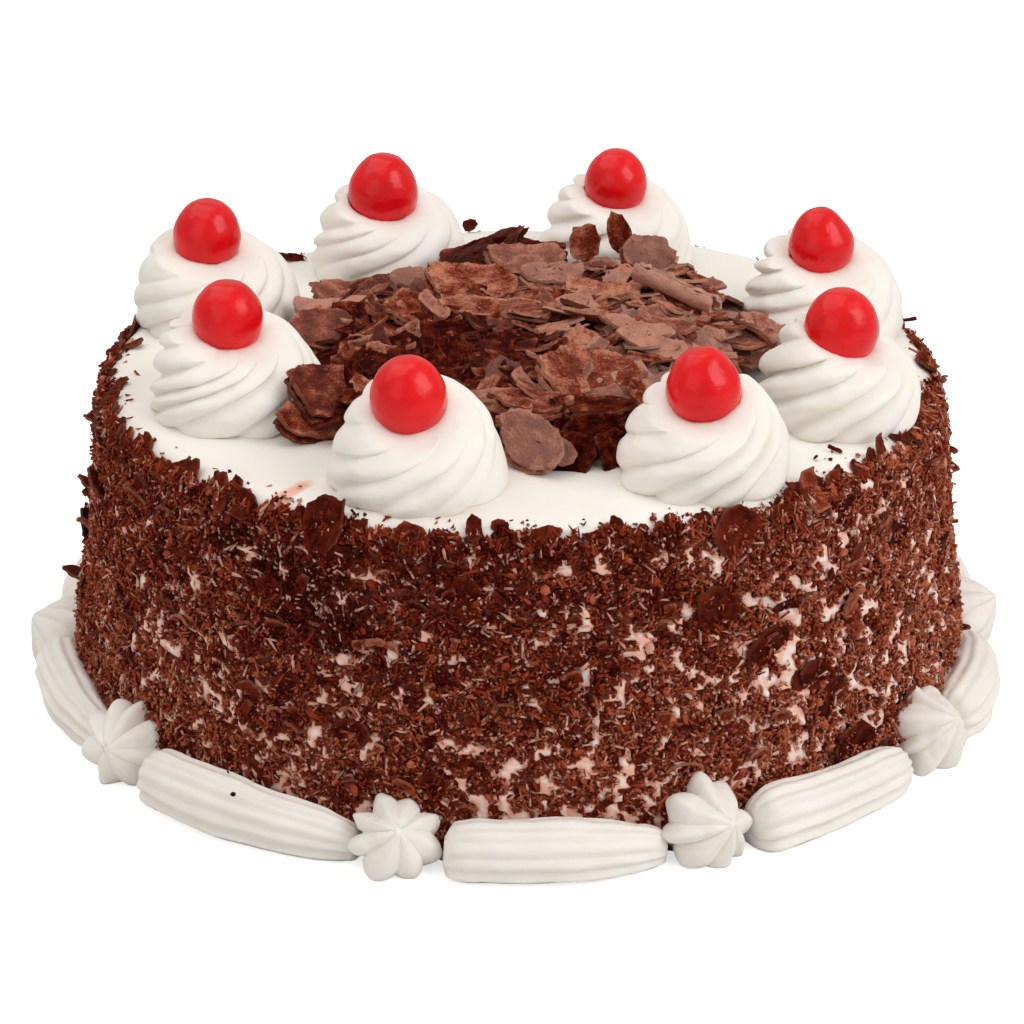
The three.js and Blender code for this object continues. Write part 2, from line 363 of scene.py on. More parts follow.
def addBump(tree, shader, height, strength, distance):
    bump = addNode(tree, "ShaderNodeBump")
    setInputs(bump, Strength=strength, Distance=distance * mm)
    tree.links.new(height, bump.inputs["Height"])
    tree.links.new(bump.outputs["Normal"], shader.inputs["Normal"])


def addGlow(shader, weight, depth, colours):
    # light that passes under the surface: how much, how deep in mm, and how deep each colour goes
    setInputs(shader, Subsurface_Weight=weight, Subsurface_Scale=depth * mm)
    shader.inputs["Subsurface Radius"].default_value = colours


def eased(tree, value, low, high):
    # 0 below low, 1 above high and a soft step between
    step = addNode(tree, "ShaderNodeMapRange", interpolation_type="SMOOTHSTEP")
    setInputs(step, From_Min=low, From_Max=high)
    tree.links.new(value, step.inputs["Value"])
    return step.outputs[0]


def blended(tree, share, first, second):
    # first and second are sockets or plain colours
    mixer = addNode(tree, "ShaderNodeMix", data_type="RGBA")
    tree.links.new(share, mixer.inputs[0])
    for number, colour in ((6, first), (7, second)):
        if isinstance(colour, tuple):
            mixer.inputs[number].default_value = (*colour, 1)
        else:
            tree.links.new(colour, mixer.inputs[number])
    return mixer.outputs[2]


def makeMottle():
    # soft clouds of one size and a finer grain, both from 0 to 1, in the cake's own coordinates
    inputs = [("Cloud size", "NodeSocketFloat", 20.0), ("Grain size", "NodeSocketFloat", 1.5)]
    outputs = [("Clouds", "NodeSocketFloat"), ("Grain", "NodeSocketFloat")]
    tree, into, out = newGroup("mottle", inputs, outputs)
    place = addNode(tree, "ShaderNodeTexCoord")
    for size, result in (("Cloud size", "Clouds"), ("Grain size", "Grain")):
        scale = addNode(tree, "ShaderNodeMath", operation="DIVIDE")
        scale.inputs[0].default_value = 1 / mm
        pattern = addNode(tree, "ShaderNodeTexNoise")
        setInputs(pattern, Detail=3.0, Roughness=0.55)
        tree.links.new(into.outputs[size], scale.inputs[1])
        tree.links.new(scale.outputs[0], pattern.inputs["Scale"])
        tree.links.new(place.outputs["Object"], pattern.inputs["Vector"])
        tree.links.new(pattern.outputs["Fac"], out.inputs[result])
    return tree


cocoaShades = ("Dark", "Middle", "Light", "Bloomed")


def makeCocoa():
    # chocolate from a piece's own tone, bloom and edge: its colour, with a painted highlight along the edge,
    # and the height of its grain
    inputs = [(shade, "NodeSocketColor", None) for shade in cocoaShades]
    inputs += [("Lines", "NodeSocketFloat", 0.5), ("Contrast", "NodeSocketFloat", 1.5)]
    inputs += [("Worn", "NodeSocketFloat", 0.0)]
    outputs = [("Color", "NodeSocketColor"), ("Height", "NodeSocketFloat"), ("Roughness", "NodeSocketFloat")]
    tree, into, out = newGroup("cocoa", inputs, outputs)
    link = tree.links.new
    marks = ("tone", "bloom", "edge", "grain")
    tone, bloom, edge, grain = [addNode(tree, "ShaderNodeAttribute", attribute_name=mark) for mark in marks]
    along = addNode(tree, "ShaderNodeMapping")
    along.inputs["Scale"].default_value = (0.3, 1.1, 1.0)  # drawn out along the scrape
    link(grain.outputs["Vector"], along.inputs["Vector"])
    lines, specks, blotches = [addNode(tree, "ShaderNodeTexNoise") for _ in range(3)]
    setInputs(lines, Scale=1.0, Detail=4.0, Roughness=0.65, Distortion=0.6)
    setInputs(specks, Scale=2.0, Detail=4.0, Roughness=0.92)
    setInputs(blotches, Scale=0.22, Detail=2.0, Roughness=0.5)
    for pattern, source in ((lines, along), (specks, grain), (blotches, grain)):
        link(source.outputs["Vector"], pattern.inputs["Vector"])

    def combine(operation, first, second, third=None):
        step = addNode(tree, "ShaderNodeMath", operation=operation)
        for number, value in enumerate((first, second, third)):
            if isinstance(value, float):
                step.inputs[number].default_value = value
            elif value:
                link(value, step.inputs[number])
        return step.outputs[0]

    both = addNode(tree, "ShaderNodeMix", data_type="FLOAT")
    link(into.outputs["Lines"], both.inputs[0])
    link(specks.outputs["Fac"], both.inputs[2])
    link(lines.outputs["Fac"], both.inputs[3])
    broad = combine("SUBTRACT", blotches.outputs["Fac"], 0.5)
    fine = combine("SUBTRACT", both.outputs[0], 0.5)
    pattern = combine("MULTIPLY_ADD", broad, 0.6, fine)
    uneven = combine("MULTIPLY_ADD", pattern, into.outputs["Contrast"], tone.outputs["Fac"])
    # painted highlight: the edges of each flake are made lighter
    rimHighlightMask = combine("MULTIPLY", edge.outputs["Fac"], specks.outputs["Fac"])
    rimHighlighted = combine("MULTIPLY_ADD", rimHighlightMask, into.outputs["Worn"], uneven)
    lower, upper = [addNode(tree, "ShaderNodeMapRange") for _ in range(2)]
    for half, low in ((lower, 0.0), (upper, 0.5)):
        setInputs(half, From_Min=low, From_Max=low + 0.5)
        link(rimHighlighted, half.inputs["Value"])
    first = blended(tree, lower.outputs[0], into.outputs["Dark"], into.outputs["Middle"])
    second = blended(tree, upper.outputs[0], first, into.outputs["Light"])
    veil = combine("MULTIPLY", bloom.outputs["Fac"], specks.outputs["Fac"])
    link(blended(tree, veil, second, into.outputs["Bloomed"]), out.inputs["Color"])
    link(both.outputs[0], out.inputs["Height"])
    rough = addNode(tree, "ShaderNodeMapRange")
    setInputs(rough, To_Min=0.4, To_Max=0.8)
    link(specks.outputs["Fac"], rough.inputs["Value"])
    link(rough.outputs[0], out.inputs["Roughness"])
    return tree


mottle = makeMottle()
cocoa = makeCocoa()

creamLook = {
    "clean": (0.935, 0.91, 0.868),
    "shade": (0.90, 0.862, 0.81),
    "blush": (0.94, 0.50, 0.39),  # cream smeared with a little chocolate
    "shadedCrumbBed": (0.085, 0.008, 0.0035),  # the chocolate bed that the crumbs stick in, dark as painted shade in the gaps between them
    "crumbLight": (0.29, 0.047, 0.021),
    "crumbSize": 0.9,
    "roughness": 0.5,
    "gloss": 0.3,
    "glow": 0.25,  # how much light passes under the surface
    "depth": 1.4,
}


def creamFinish(name, cloudSize, grainSize, bumpHeight, stained=False):
    look = creamLook
    material, tree, shader = newFinish(name)
    link = tree.links.new
    spots = placeGroup(tree, mottle, Cloud_size=cloudSize, Grain_size=grainSize)
    tint = ramp(tree, [(0.3, look["shade"]), (0.6, look["clean"])])
    link(spots.outputs["Clouds"], tint.inputs["Fac"])
    colour = tint.outputs["Color"]
    if stained:
        stain = addNode(tree, "ShaderNodeAttribute", attribute_name="stain")
        soil = placeGroup(tree, mottle, Cloud_size=2.5, Grain_size=look["crumbSize"])
        ragged = addNode(tree, "ShaderNodeMath", operation="MULTIPLY_ADD")
        ragged.inputs[1].default_value = 0.5
        link(soil.outputs["Grain"], ragged.inputs[0])
        link(stain.outputs["Fac"], ragged.inputs[2])
        # the dark end of the bed is painted shade between the crumbs
        bed = ramp(tree, [(0.36, look["shadedCrumbBed"]), (0.62, look["crumbLight"])])
        link(soil.outputs["Grain"], bed.inputs["Fac"])
        smeared = blended(tree, eased(tree, stain.outputs["Fac"], 0.02, 0.35), colour, look["blush"])
        colour = blended(tree, eased(tree, ragged.outputs[0], 0.62, 0.78), smeared, bed.outputs["Color"])
    link(colour, shader.inputs["Base Color"])
    addBump(tree, shader, spots.outputs["Grain"], 0.6, bumpHeight)
    setInputs(shader, Roughness=look["roughness"], Specular_IOR_Level=look["gloss"])
    addGlow(shader, look["glow"], look["depth"], (1.0, 0.75, 0.55))
    return material


# the shades of each kind of chocolate
cocoaLook = {
    "grated": [(0.078, 0.0045, 0.0014), (0.32, 0.043, 0.0155), (0.57, 0.16, 0.083), (0.88, 0.50, 0.39)],
    "scraped": [(0.032, 0.0009, 0.0003), (0.215, 0.0285, 0.0105), (0.63, 0.26, 0.165), (0.56, 0.32, 0.26)],
    # the rims of flakes, in lighter colours as a painted highlight
    "rimHighlightShades": [(0.05, 0.008, 0.004), (0.28, 0.09, 0.05), (0.60, 0.31, 0.21), (0.56, 0.36, 0.29)],
}


def cocoaFinish(name, look, lines, contrast, bumpHeight, gloss, rimHighlighted=0.0):
    material, tree, shader = newFinish(name)
    link = tree.links.new
    skin = placeGroup(tree, cocoa, Lines=lines, Contrast=contrast, Worn=rimHighlighted)
    for socket, colour in zip(cocoaShades, cocoaLook[look]):
        skin.inputs[socket].default_value = (*colour, 1)
    link(skin.outputs["Color"], shader.inputs["Base Color"])
    link(skin.outputs["Roughness"], shader.inputs["Roughness"])
    addBump(tree, shader, skin.outputs["Height"], 0.8, bumpHeight)
    setInputs(shader, Specular_IOR_Level=gloss)
    return material


cherryLook = {
    "skin": (0.83, 0.0035, 0.008),
    "deep": (0.70, 0.0025, 0.007),
    "roughness": (0.12, 0.32),  # from its wettest to its driest spots
    "gloss": 0.36,
    "glow": 0.10,
    "depth": 2,
}


def cherryFinish():
    look = cherryLook
    material, tree, shader = newFinish("cherrySkin")
    link = tree.links.new
    spots = placeGroup(tree, mottle, Cloud_size=9.0, Grain_size=1.3)
    tint = ramp(tree, [(0.35, look["deep"]), (0.6, look["skin"])])
    link(spots.outputs["Clouds"], tint.inputs["Fac"])
    link(tint.outputs["Color"], shader.inputs["Base Color"])
    rough = addNode(tree, "ShaderNodeMapRange")
    setInputs(rough, To_Min=look["roughness"][0], To_Max=look["roughness"][1])
    link(spots.outputs["Grain"], rough.inputs["Value"])
    link(rough.outputs[0], shader.inputs["Roughness"])
    addBump(tree, shader, spots.outputs["Grain"], 0.4, 0.3)
    setInputs(shader, Specular_IOR_Level=look["gloss"])
    addGlow(shader, look["glow"], look["depth"], (1.0, 0.15, 0.1))
    return material


coverCream = creamFinish("coverCream", 38.0, 5.0, 0.5, stained=True)
swirlCream = creamFinish("swirlCream", 14.0, 1.4, 0.16)
borderCream = creamFinish("borderCream", 12.0, 1.6, 0.2)
cherrySkin = cherryFinish()
gratedChocolate = cocoaFinish("gratedChocolate", "grated", 0.3, 0.9, 0.3, 0.045)
wallChocolate = cocoaFinish("wallChocolate", "scraped", 0.3, 1.2, 0.35, 0.05, rimHighlighted=0.3)
scrapedChocolate = cocoaFinish("scrapedChocolate", "scraped", 0.25, 2.7, 0.6, 0.04, rimHighlighted=0.45)
highlightedRim = cocoaFinish("highlightedRim", "rimHighlightShades", 0.2, 1.0, 0.2, 0.1)
heapShadeCore = cocoaFinish("heapShadeCore", "scraped", 0.1, 1.0, 0.6, 0.05)
print("finishes made")

# The cake itself: cream all over, browned where crumbs will stick to it

cover = {
    "crumbBed": 0.6,  # the cream lies this far inside the crumbs' mean surface
    "steps": 660,
    "rowHeight": 1.05,
    "topRing": 5.0,
    "middle": 106,  # mean radius of the side, which the places below are measured on
    "waves": [(46, 1.5), (15, 0.5)],  # size and height of the spatula's waves
    "pits": [(4.5, 1.0), (1.9, 0.9)],  # the same for the side below the crumbs
    "sideFrom": 90,  # radius past which a point belongs to the side
    "patch": 0.18,  # how rare bare patches are
    # their outlines, their ragged edges and how they drift round the side: size, share and shift
    "patchClouds": [(4.4, 0.62, origin), (1.7, 0.5, (31, 7, 3)), (34, 0.08, (5, 50, 9))],
    "patchSide": (8, 0.07),  # there are more at the right of this angle
    "patchLow": 0.16,  # and near the foot
    "bulge": 1.0,  # how far the cream stands out between the crumbs there
    "swell": 2.4,  # how much thicker the coat is at the sides
    "swellFade": 10,  # height over which that comes and goes
    # places with more or fewer of them: angle, height, reach and change
    "patches": [
        (46, 60, 26, 0.09),
        (36, 42, 22, 0.08),
        (34, 14, 20, -0.05),
        (2, 10, 30, 0.13),
        (-48, 42, 24, 0.17),
        (-30, 14, 20, 0.10),
        (-4, 42, 16, -0.09),
        (-2, 64, 22, -0.03),
        (85, 40, 30, 0.07),
    ],
    "shadeLift": 0.075,
    # how the crumbs' tone wanders: size, share and shift of each pattern
    "shadeClouds": [(16, 0.16, (3, 3, 40)), (2.3, 0.42, (8, 2, 1)), (5.5, 0.38, origin)],
    "clot": 0.3,  # how much darker clotted crumbs are
    "paintedLightLow": 0.4,  # painted light: how much lighter the foot is than the rim
    "paintedLightRight": 0.38,  # and the right and left than the front, also painted light
    "paintedLightLeft": 0.12,
    # places where painted light and shade make the crumbs darker or lighter: angle, height, reach and change
    # of tone
    "shades": [
        (-28, 63, 16, -0.22),
        (-40, 69, 7, -0.5),
        (-33, 66, 8, -0.45),
        (-27.5, 60, 8, -0.5),
        (-22, 55, 8, -0.5),
        (-17.5, 51, 6, -0.4),
        (-6, 62, 18, -0.12),
        (26, 56, 12, -0.12),
        (44, 18, 9, -0.15),
        (-84, 48, 15, 0.16),
        (66, 40, 16, 0.14),
        (12, 30, 14, 0.06),
    ],
    "smear": (-33.5, 83, 3.4, 0.6),  # chocolate wiped over the rim: angle, height, reach, depth
    "smudge": (0.21, 0.34, 1.8, 0.03),  # stains on bare cream: mean, spread, size, less at the right
    "edgeRise": 5,  # how far past the foot of the rounding the crumbs go
    "edgeDrop": 5.5,  # how much lower they stop at the back
}


def rimPoint(along):
    # place on the side's outline by its length up from the floor: radius, height and lean of the surface
    radius = cake["rimRound"]
    slope = cake["height"] - radius
    if along <= slope:
        return wallRadius(along), along, 0.0
    turned = (along - slope) / radius
    if turned < math.pi / 2:
        inner = wallRadius(slope) - radius
        return inner + radius * math.cos(turned), slope + radius * math.sin(turned), math.degrees(turned)
    return wallRadius(slope) - radius - (along - slope - radius * math.pi / 2), cake["height"], 90.0


def swell(degrees, along):
    # how much thicker the coat is at the sides
    sideways = abs(math.sin(math.radians(degrees))) ** 3
    top = 0.7 if degrees > 0 else 0.15
    fade = cover["swellFade"]
    thicker = cover["swell"] * sideways * mix(1, top, clamped((along - 24) / fade))
    return thicker * clamped((cake["height"] - along) / fade)


def changeNear(place, spots):
    # the changes of all the spots that a place lies in
    total = 0.0
    for angle, height, reach, change in spots:
        away = (place - around(angle, cover["middle"], height)).length / reach
        total += change * max(0, 1 - away * away)
    return total


def bareness(degrees, along):
    # how bare of crumbs the side is there: above 0 is a patch of cream
    place = around(degrees, cover["middle"], along)
    sideAngle, sideShare = cover["patchSide"]
    bare = sideShare * math.sin(math.radians(degrees - sideAngle)) - cover["patch"]
    bare += cover["patchLow"] * (0.5 - along / cake["height"])
    for size, share, shift in cover["patchClouds"]:
        bare += share * clouds(place, size, shift)
    return bare + changeNear(place, cover["patches"])


def shadeAt(degrees, along):
    # how much darker or lighter the crumbs are there: random drift and clots, plus painted light and shade
    place = around(degrees, cover["middle"], along)
    change = cover["shadeLift"]
    for size, share, shift in cover["shadeClouds"]:
        change += share * clouds(place, size, shift)
    clot = clouds(place, 3.6, (60, 2, 9)) + 0.5 * clouds(place, 1.5)
    change -= cover["clot"] * clamped((clot - 0.14) / 0.14)
    change += cover["paintedLightLow"] * (0.52 - along / cake["height"])
    change += cover["paintedLightRight"] * clamped((degrees - 10) / 28)
    change += cover["paintedLightLeft"] * clamped((-degrees - 28) / 20)
    return change + changeNear(place, cover["shades"])


def crumbEdge(degrees):
    # how far up and over the rim the crumbs reach at that angle
    place = around(degrees, 40, 0)
    ragged = 2.8 * clouds(place, 1.1) + 2.4 * clouds(place, 3.6, (9, 9, 9))
    behind = clamped((abs(degrees) - 95) / 25)
    return cake["height"] - cake["rimRound"] + cover["edgeRise"] + ragged - cover["edgeDrop"] * behind


def stainAt(place):
    # how stained with chocolate the cream is: the crumbs' bed, smudges where it is bare, and the smear
    if place.xy.length < cover["sideFrom"] + 2:
        return 0.0
    degrees = angleOf(place)
    turning = cake["rimRound"]
    foot = cake["height"] - turning
    height = place.z if place.z < foot else foot + turning * math.asin(min(1, (place.z - foot) / turning))
    if height >= crumbEdge(degrees) - 0.5:
        angle, high, reach, depth = cover["smear"]
        away = around(degrees, cover["middle"], height) - around(angle, cover["middle"], high)
        return max(0, depth - depth * away.length / reach)
    mean, spread, size, side = cover["smudge"]
    smudge = mean + spread * clouds(place, size) - side * math.sin(math.radians(degrees))
    return max(clamped(0.5 - 7 * bareness(degrees, height)), smudge)


def makeCover():
    rows = []
    along = 0.0
    edge = cake["height"] + cake["rimRound"] * (math.pi / 2 - 1)
    while along < edge:
        radius, height, lean = rimPoint(along)
        rows.append((radius - cover["crumbBed"] * math.cos(math.radians(lean)), height))
        along += cover["rowHeight"]
    inner = cake["topRadius"] - cake["rimRound"] - 1
    rings = int(inner / cover["topRing"])
    rows += [(inner * (1 - j / rings), cake["height"]) for j in range(rings + 1)]
    piece = spinOutline("creamCover", [(0, 0)] + rows, cover["steps"])
    side = piece.vertex_groups.new(name="side")
    limit = (cake["height"] - cake["rimRound"] * 0.4) * mm
    vertices = piece.data.vertices
    below = [v.index for v in vertices if v.co.z < limit and v.co.xy.length > cover["sideFrom"] * mm]
    side.add(below, 1.0, "REPLACE")
    for size, strength in cover["waves"]:
        roughen(piece, size, strength)
    for size, strength in cover["pits"]:
        roughen(piece, size, strength, group="side")
    bare = piece.vertex_groups.new(name="bare")
    for index in below:
        place = vertices[index].co / mm
        bare.add([index], clamped(bareness(angleOf(place), place.z) / 0.12 + 0.3), "REPLACE")
    bulge = piece.modifiers.new("bulge", "DISPLACE")
    bulge.strength = cover["bulge"] * mm
    bulge.mid_level = 0
    bulge.vertex_group = "bare"
    applyModifiers(piece)
    for vertex in piece.data.vertices:
        if vertex.co.z < 0.5 * mm:
            vertex.co.z = 0
    piece.data.shade_smooth()
    setMark(piece.data, "stain", [stainAt(v.co / mm) for v in piece.data.vertices])
    for vertex in piece.data.vertices:
        place = vertex.co / mm
        if place.xy.length > cover["sideFrom"]:
            vertex.co.xy *= 1 + swell(angleOf(place), place.z) / place.xy.length
    piece.data.materials.append(coverCream)
    finish(piece, "cream", "cake_body")


makeCover()
print("cream cover made")

# Crumbs of grated chocolate on the side

crumbs = {  # how many, their sizes in mm, and how far they stand off the cover
    "dust": {"count": 46000, "size": (0.30, 0.66), "stick": (0.0, 1.9)},
    "speck": {"count": 18000, "size": (0.27, 0.55), "stick": (0.1, 1.9)},
    "grain": {"count": 12000, "size": (0.30, 0.66), "stick": (0.0, 1.7)},
    "shred": {"count": 24000, "size": (0.36, 0.92), "stick": (0.2, 2.1)},
    "chip": {"count": 1500, "size": (0.45, 1.0), "stick": (0.4, 1.7)},
    "tilt": 30,  # how far they lie off the wall, degrees
    "rimShare": 0.10,  # share of the shreds and chips that stand along the upper edge
    "strays": 0.0035,  # share that fell on the cream just inside the edge
    "smeared": 0.095,  # share with cream on them, far from a bare patch
    "creamed": (0.7, 1.9),  # how thick that cream is
    "tone": (0.51, 0.085),  # their mean tone and its spread
    "oddTones": [(0.1, 0.02, 0.2), (0.04, 0.65, 0.95)],  # the dark and the pale ones: share and tones
    "rise": (4.0, 90.0),  # lowest and highest, along the side
    "onBare": (0.03, 0.3, 0.04),  # share that stays on bare cream, the same at its edge, and that edge
}


def crumbShape(kind, seed):
    clearSelection()
    loose = 0.3
    if kind == "dust":
        bpy.ops.mesh.primitive_cone_add(vertices=3, radius1=mm, depth=1.3 * mm)
        startEdit()
        bpy.ops.transform.resize(value=(1.7, 0.7, 0.75))
    elif kind == "speck":
        bpy.ops.mesh.primitive_cylinder_add(vertices=3, radius=1.15 * mm, depth=1.15 * mm)
        startEdit()
        pick(lambda v: v.co.z > 0)
        turnPicked(math.radians(50))
        selectAll()
        bpy.ops.transform.resize(value=(1.0, 0.8, 1.0))
    elif kind == "grain":
        bpy.ops.mesh.primitive_cylinder_add(vertices=3, radius=1.3 * mm, depth=1.6 * mm)
        startEdit()
        pick(lambda v: v.co.z > 0)
        sizePicked((0.6, 0.8, 0.8), (0.2 * mm, 0, 0))
    elif kind == "shred":
        bpy.ops.mesh.primitive_cylinder_add(vertices=3, radius=0.5 * mm, depth=3.3 * mm)
        startEdit()
        turnPicked(math.pi / 2, "Y")
        pick(lambda v: v.co.x > mm)
        sizePicked((1, 0.5, 0.7), (1.6 * mm, 0.3 * mm, 0.2 * mm))
        loose = 0.2
    else:
        bpy.ops.mesh.primitive_circle_add(vertices=6, radius=1.4 * mm, fill_type="NGON")
        startEdit()
        extrudePicked((0, 0, 0.5 * mm))
        selectAll()
        bpy.ops.transform.resize(value=(1.2, 0.85, 1))
    selectAll()
    bpy.ops.transform.vertex_random(offset=loose * mm, seed=seed)
    bpy.ops.mesh.normals_make_consistent(inside=False)
    endEdit()
    piece = bpy.context.object
    shape = shapeOf(piece)
    discard(piece)
    return shape


def wallFrames(degrees, lean):
    # for each spot: columns that point along the wall to the right, up it, and out of it
    turn, tip = np.radians(degrees), np.radians(lean)
    right = np.stack([np.cos(turn), np.sin(turn), np.zeros_like(turn)], 1)
    level = np.stack([np.sin(turn), -np.cos(turn), np.zeros_like(turn)], 1)
    upright = np.zeros_like(right)
    upright[:, 2] = 1
    out = level * np.cos(tip)[:, None] + upright * np.sin(tip)[:, None]
    up = upright * np.cos(tip)[:, None] - level * np.sin(tip)[:, None]
    return np.stack([right, up, out], 2)


def onWall(degrees, along, stick):
    # places in mm that far out from the side, and the frames there
    radius, height, lean = np.array([rimPoint(a) for a in along]).T
    frames = wallFrames(degrees, lean)
    turn = np.radians(degrees)
    radius += [swell(d, a) for d, a in zip(degrees, along)]
    spots = np.stack([radius * np.sin(turn), -radius * np.cos(turn), height], 1)
    return spots + frames[:, :, 2] * stick[:, None], frames


def crumbTones(picker, degrees, along, smeared):
    # tone and bloom: a mix of dark, middle and light crumbs that drifts slowly round the side; the tone
    # carries painted light and shade
    count = len(degrees)
    tone = picker.normal(*crumbs["tone"], count)
    for share, darkest, palest in crumbs["oddTones"]:
        odd = picker.random(count) < share
        tone[odd] = picker.uniform(darkest, palest, odd.sum())
    tone += np.array([shadeAt(a, h) for a, h in zip(degrees, along)])
    near = np.array([bareness(a, h) for a, h in zip(degrees, along)])
    chance = smeared + np.where(smeared > 0, 0.55, 0.1) * np.exp(np.minimum(near, 0) / 0.07)
    bloom = np.where(picker.random(count) < chance, picker.uniform(*crumbs["creamed"], count), 0.0)
    return np.stack([np.clip(tone, 0.02, 0.95), bloom], 1)


def makeCrumbs(kind, seed):
    plan = crumbs[kind]
    picker = np.random.default_rng(seed)
    shapes = [crumbShape(kind, seed + n) for n in range(6)]
    kept, keptAtEdge, edgeReach = crumbs["onBare"]
    places = []
    while len(places) < plan["count"]:
        degrees = picker.uniform(-180, 180)
        edge = crumbEdge(degrees)
        if kind in ("shred", "chip") and picker.random() < crumbs["rimShare"]:
            places.append((degrees, edge - abs(picker.normal(0, 1.6)), 1))
            continue
        if picker.random() < crumbs["strays"]:
            places.append((degrees, edge + picker.exponential(1.8), 2))
            continue
        along = picker.uniform(*crumbs["rise"])
        bare = bareness(degrees, along)
        if along > edge or (bare > 0 and picker.random() > kept + keptAtEdge * math.exp(-bare / edgeReach)):
            continue
        places.append((degrees, along, 0))
    degrees, along, standing = np.array(places).T
    count = len(degrees)
    stick = picker.uniform(*plan["stick"], count) - 0.5
    stick[standing == 2] = 0.3
    spots, frames = onWall(degrees, along, stick)
    upright = np.where(standing == 1, picker.normal(90, 28, count), picker.uniform(0, 360, count))
    turns = frames @ rotations(0, picker.normal(0, crumbs["tilt"], count))
    turns = turns @ rotations(1, picker.normal(0, crumbs["tilt"], count))
    turns = turns @ rotations(2, upright)
    sizes = picker.uniform(*plan["size"], (count, 1)) * picker.uniform(0.8, 1.25, (count, 3))
    looks = crumbTones(picker, degrees, along, 0.0 if kind == "chip" else crumbs["smeared"])
    kinds = picker.integers(0, len(shapes), count)
    turns = stretched(turns, sizes)
    piece = scatter(f"side{kind.title()}s", shapes, kinds, spots, turns, looks, [gratedChocolate])
    finish(piece, "shavings", "cake_body")


for number, kind in enumerate(("dust", "speck", "grain", "shred", "chip")):
    makeCrumbs(kind, 11 + 20 * number)
print("side crumbs made")

# Flakes of chocolate, scraped from a block

scraping = {
    "thickness": 0.95,
    "ragged": 0.75,  # how far the edge wanders
    "chipped": 1.7,  # and how far its chips do, on a wide flake
    "smoothTo": 38,  # faces that meet at less than this are shaded as one, degrees
}

# each kind: length, width, cells, cuts as (direction, distance as a share of the half size), bend and ripple
flakeKinds = {
    "slab": (23, 17, (11, 8), [(28, 0.95), (118, 1.0), (205, 0.9), (300, 1.02)], 52, 1.3),
    "sheet": (25, 15, (12, 7), [(20, 0.82), (75, 0.9), (165, 0.95), (250, 0.9), (320, 0.8)], 46, 1.2),
    "plate": (20, 13, (10, 6), [(45, 0.9), (150, 0.95), (205, 0.97), (250, 0.98), (320, 0.96)], 44, 1.1),
    "wedge": (22, 13, (10, 6), [(35, 0.55), (-33, 0.6), (170, 0.95)], 24, 0.8),
    "splinter": (25, 6, (11, 3), [(12, 0.36), (-10, 0.4), (175, 0.95)], 12, 0.4),
    "shell": (20, 18, (10, 9), [(n * 40 + 10, 0.84 + 0.15 * draw(n + 3)) for n in range(9)], 60, 0.9),
    "scale": (11, 10, (6, 5), [(n * 45 + 20, 0.78 + 0.2 * draw(n + 8)) for n in range(8)], 26, 0.4),
    "strip": (22, 6, (10, 3), [(60, 0.98), (200, 0.98)], 34, 0.4),
    "crescent": (19, 7, (10, 4), [(40, 0.85), (140, 0.85)], 70, 0.3),
    "scroll": (11, 21, (16, 8), [(80, 1.0)], 330, 0.2),
}


def flakeShape(kind, seed, face=None, fine=False):
    length, width, cells, cuts, bend, ripple = flakeKinds[kind]
    clearSelection()
    bpy.ops.mesh.primitive_grid_add(x_subdivisions=cells[0], y_subdivisions=cells[1], size=mm)
    piece = bpy.context.object
    piece.name = kind
    startEdit()
    bpy.ops.transform.resize(value=(length, width, 1))
    for direction, share in cuts:
        turn = math.radians(direction + between(seed + direction, -9, 9))
        side = Vector((math.cos(turn), math.sin(turn), 0))
        reach = math.hypot(side.x * length, side.y * width) / 2 * share
        selectAll()
        bpy.ops.mesh.bisect(plane_co=side * reach * mm, plane_no=side, clear_outer=True)
    selectAll()
    bpy.ops.mesh.region_to_loop()
    bpy.ops.transform.vertex_random(offset=scraping["ragged"] * mm, seed=seed)
    piece.vertex_groups.new(name="edge")
    bpy.ops.object.vertex_group_assign()
    selectAll()
    sizePicked((1, 1, 0))
    turnPicked(-math.pi / 2, "X")
    endEdit()
    curve = piece.modifiers.new("curve", "SIMPLE_DEFORM")
    curve.deform_method = "BEND"
    curve.deform_axis = "Z"
    curve.angle = -math.radians(bend)
    applyModifiers(piece)
    startEdit()
    turnPicked(math.pi / 2, "X")
    endEdit()
    if fine:
        smoothPiece(piece, 1)
    roughen(piece, 6, ripple * 2)
    if fine:
        roughen(piece, 1.9, 0.8)
        roughen(piece, 2.0, scraping["chipped"] * min(1, width / 15) ** 2, group="edge", way="RGB_TO_XYZ")
    wall = piece.modifiers.new("wall", "SOLIDIFY")
    wall.thickness = scraping["thickness"] * mm
    wall.offset = 0
    # the rim faces take the lighter finish, a painted highlight along the edge
    wall.material_offset_rim = 1
    piece.data.materials.append(face or scrapedChocolate)
    piece.data.materials.append(highlightedRim)
    applyModifiers(piece)
    startEdit()
    closeShape()
    endEdit()
    shape = shapeOf(piece)
    discard(piece)
    return shape


def flakePose(heading, pitch, roll):
    # length axis turned to that heading and raised by the pitch, then rolled about itself
    turned = Matrix.Rotation(math.radians(heading), 3, "Z")
    raised = Matrix.Rotation(math.radians(-pitch), 3, "Y")
    rolled = Matrix.Rotation(math.radians(roll), 3, "X")
    return np.array(turned @ raised @ rolled)


def layFlakes(name, shapes, kinds, spots, turns, looks, face, slot, node):
    # joins the flakes into one piece and shades each of their faces as one
    arrays = [np.array(values) for values in (kinds, spots, turns)]
    piece = scatter(name, shapes, *arrays, np.maximum(np.array(looks), 0), [face, highlightedRim])
    take(piece)
    bpy.ops.object.shade_smooth_by_angle(angle=math.radians(scraping["smoothTo"]))
    finish(piece, slot, node)
    return piece


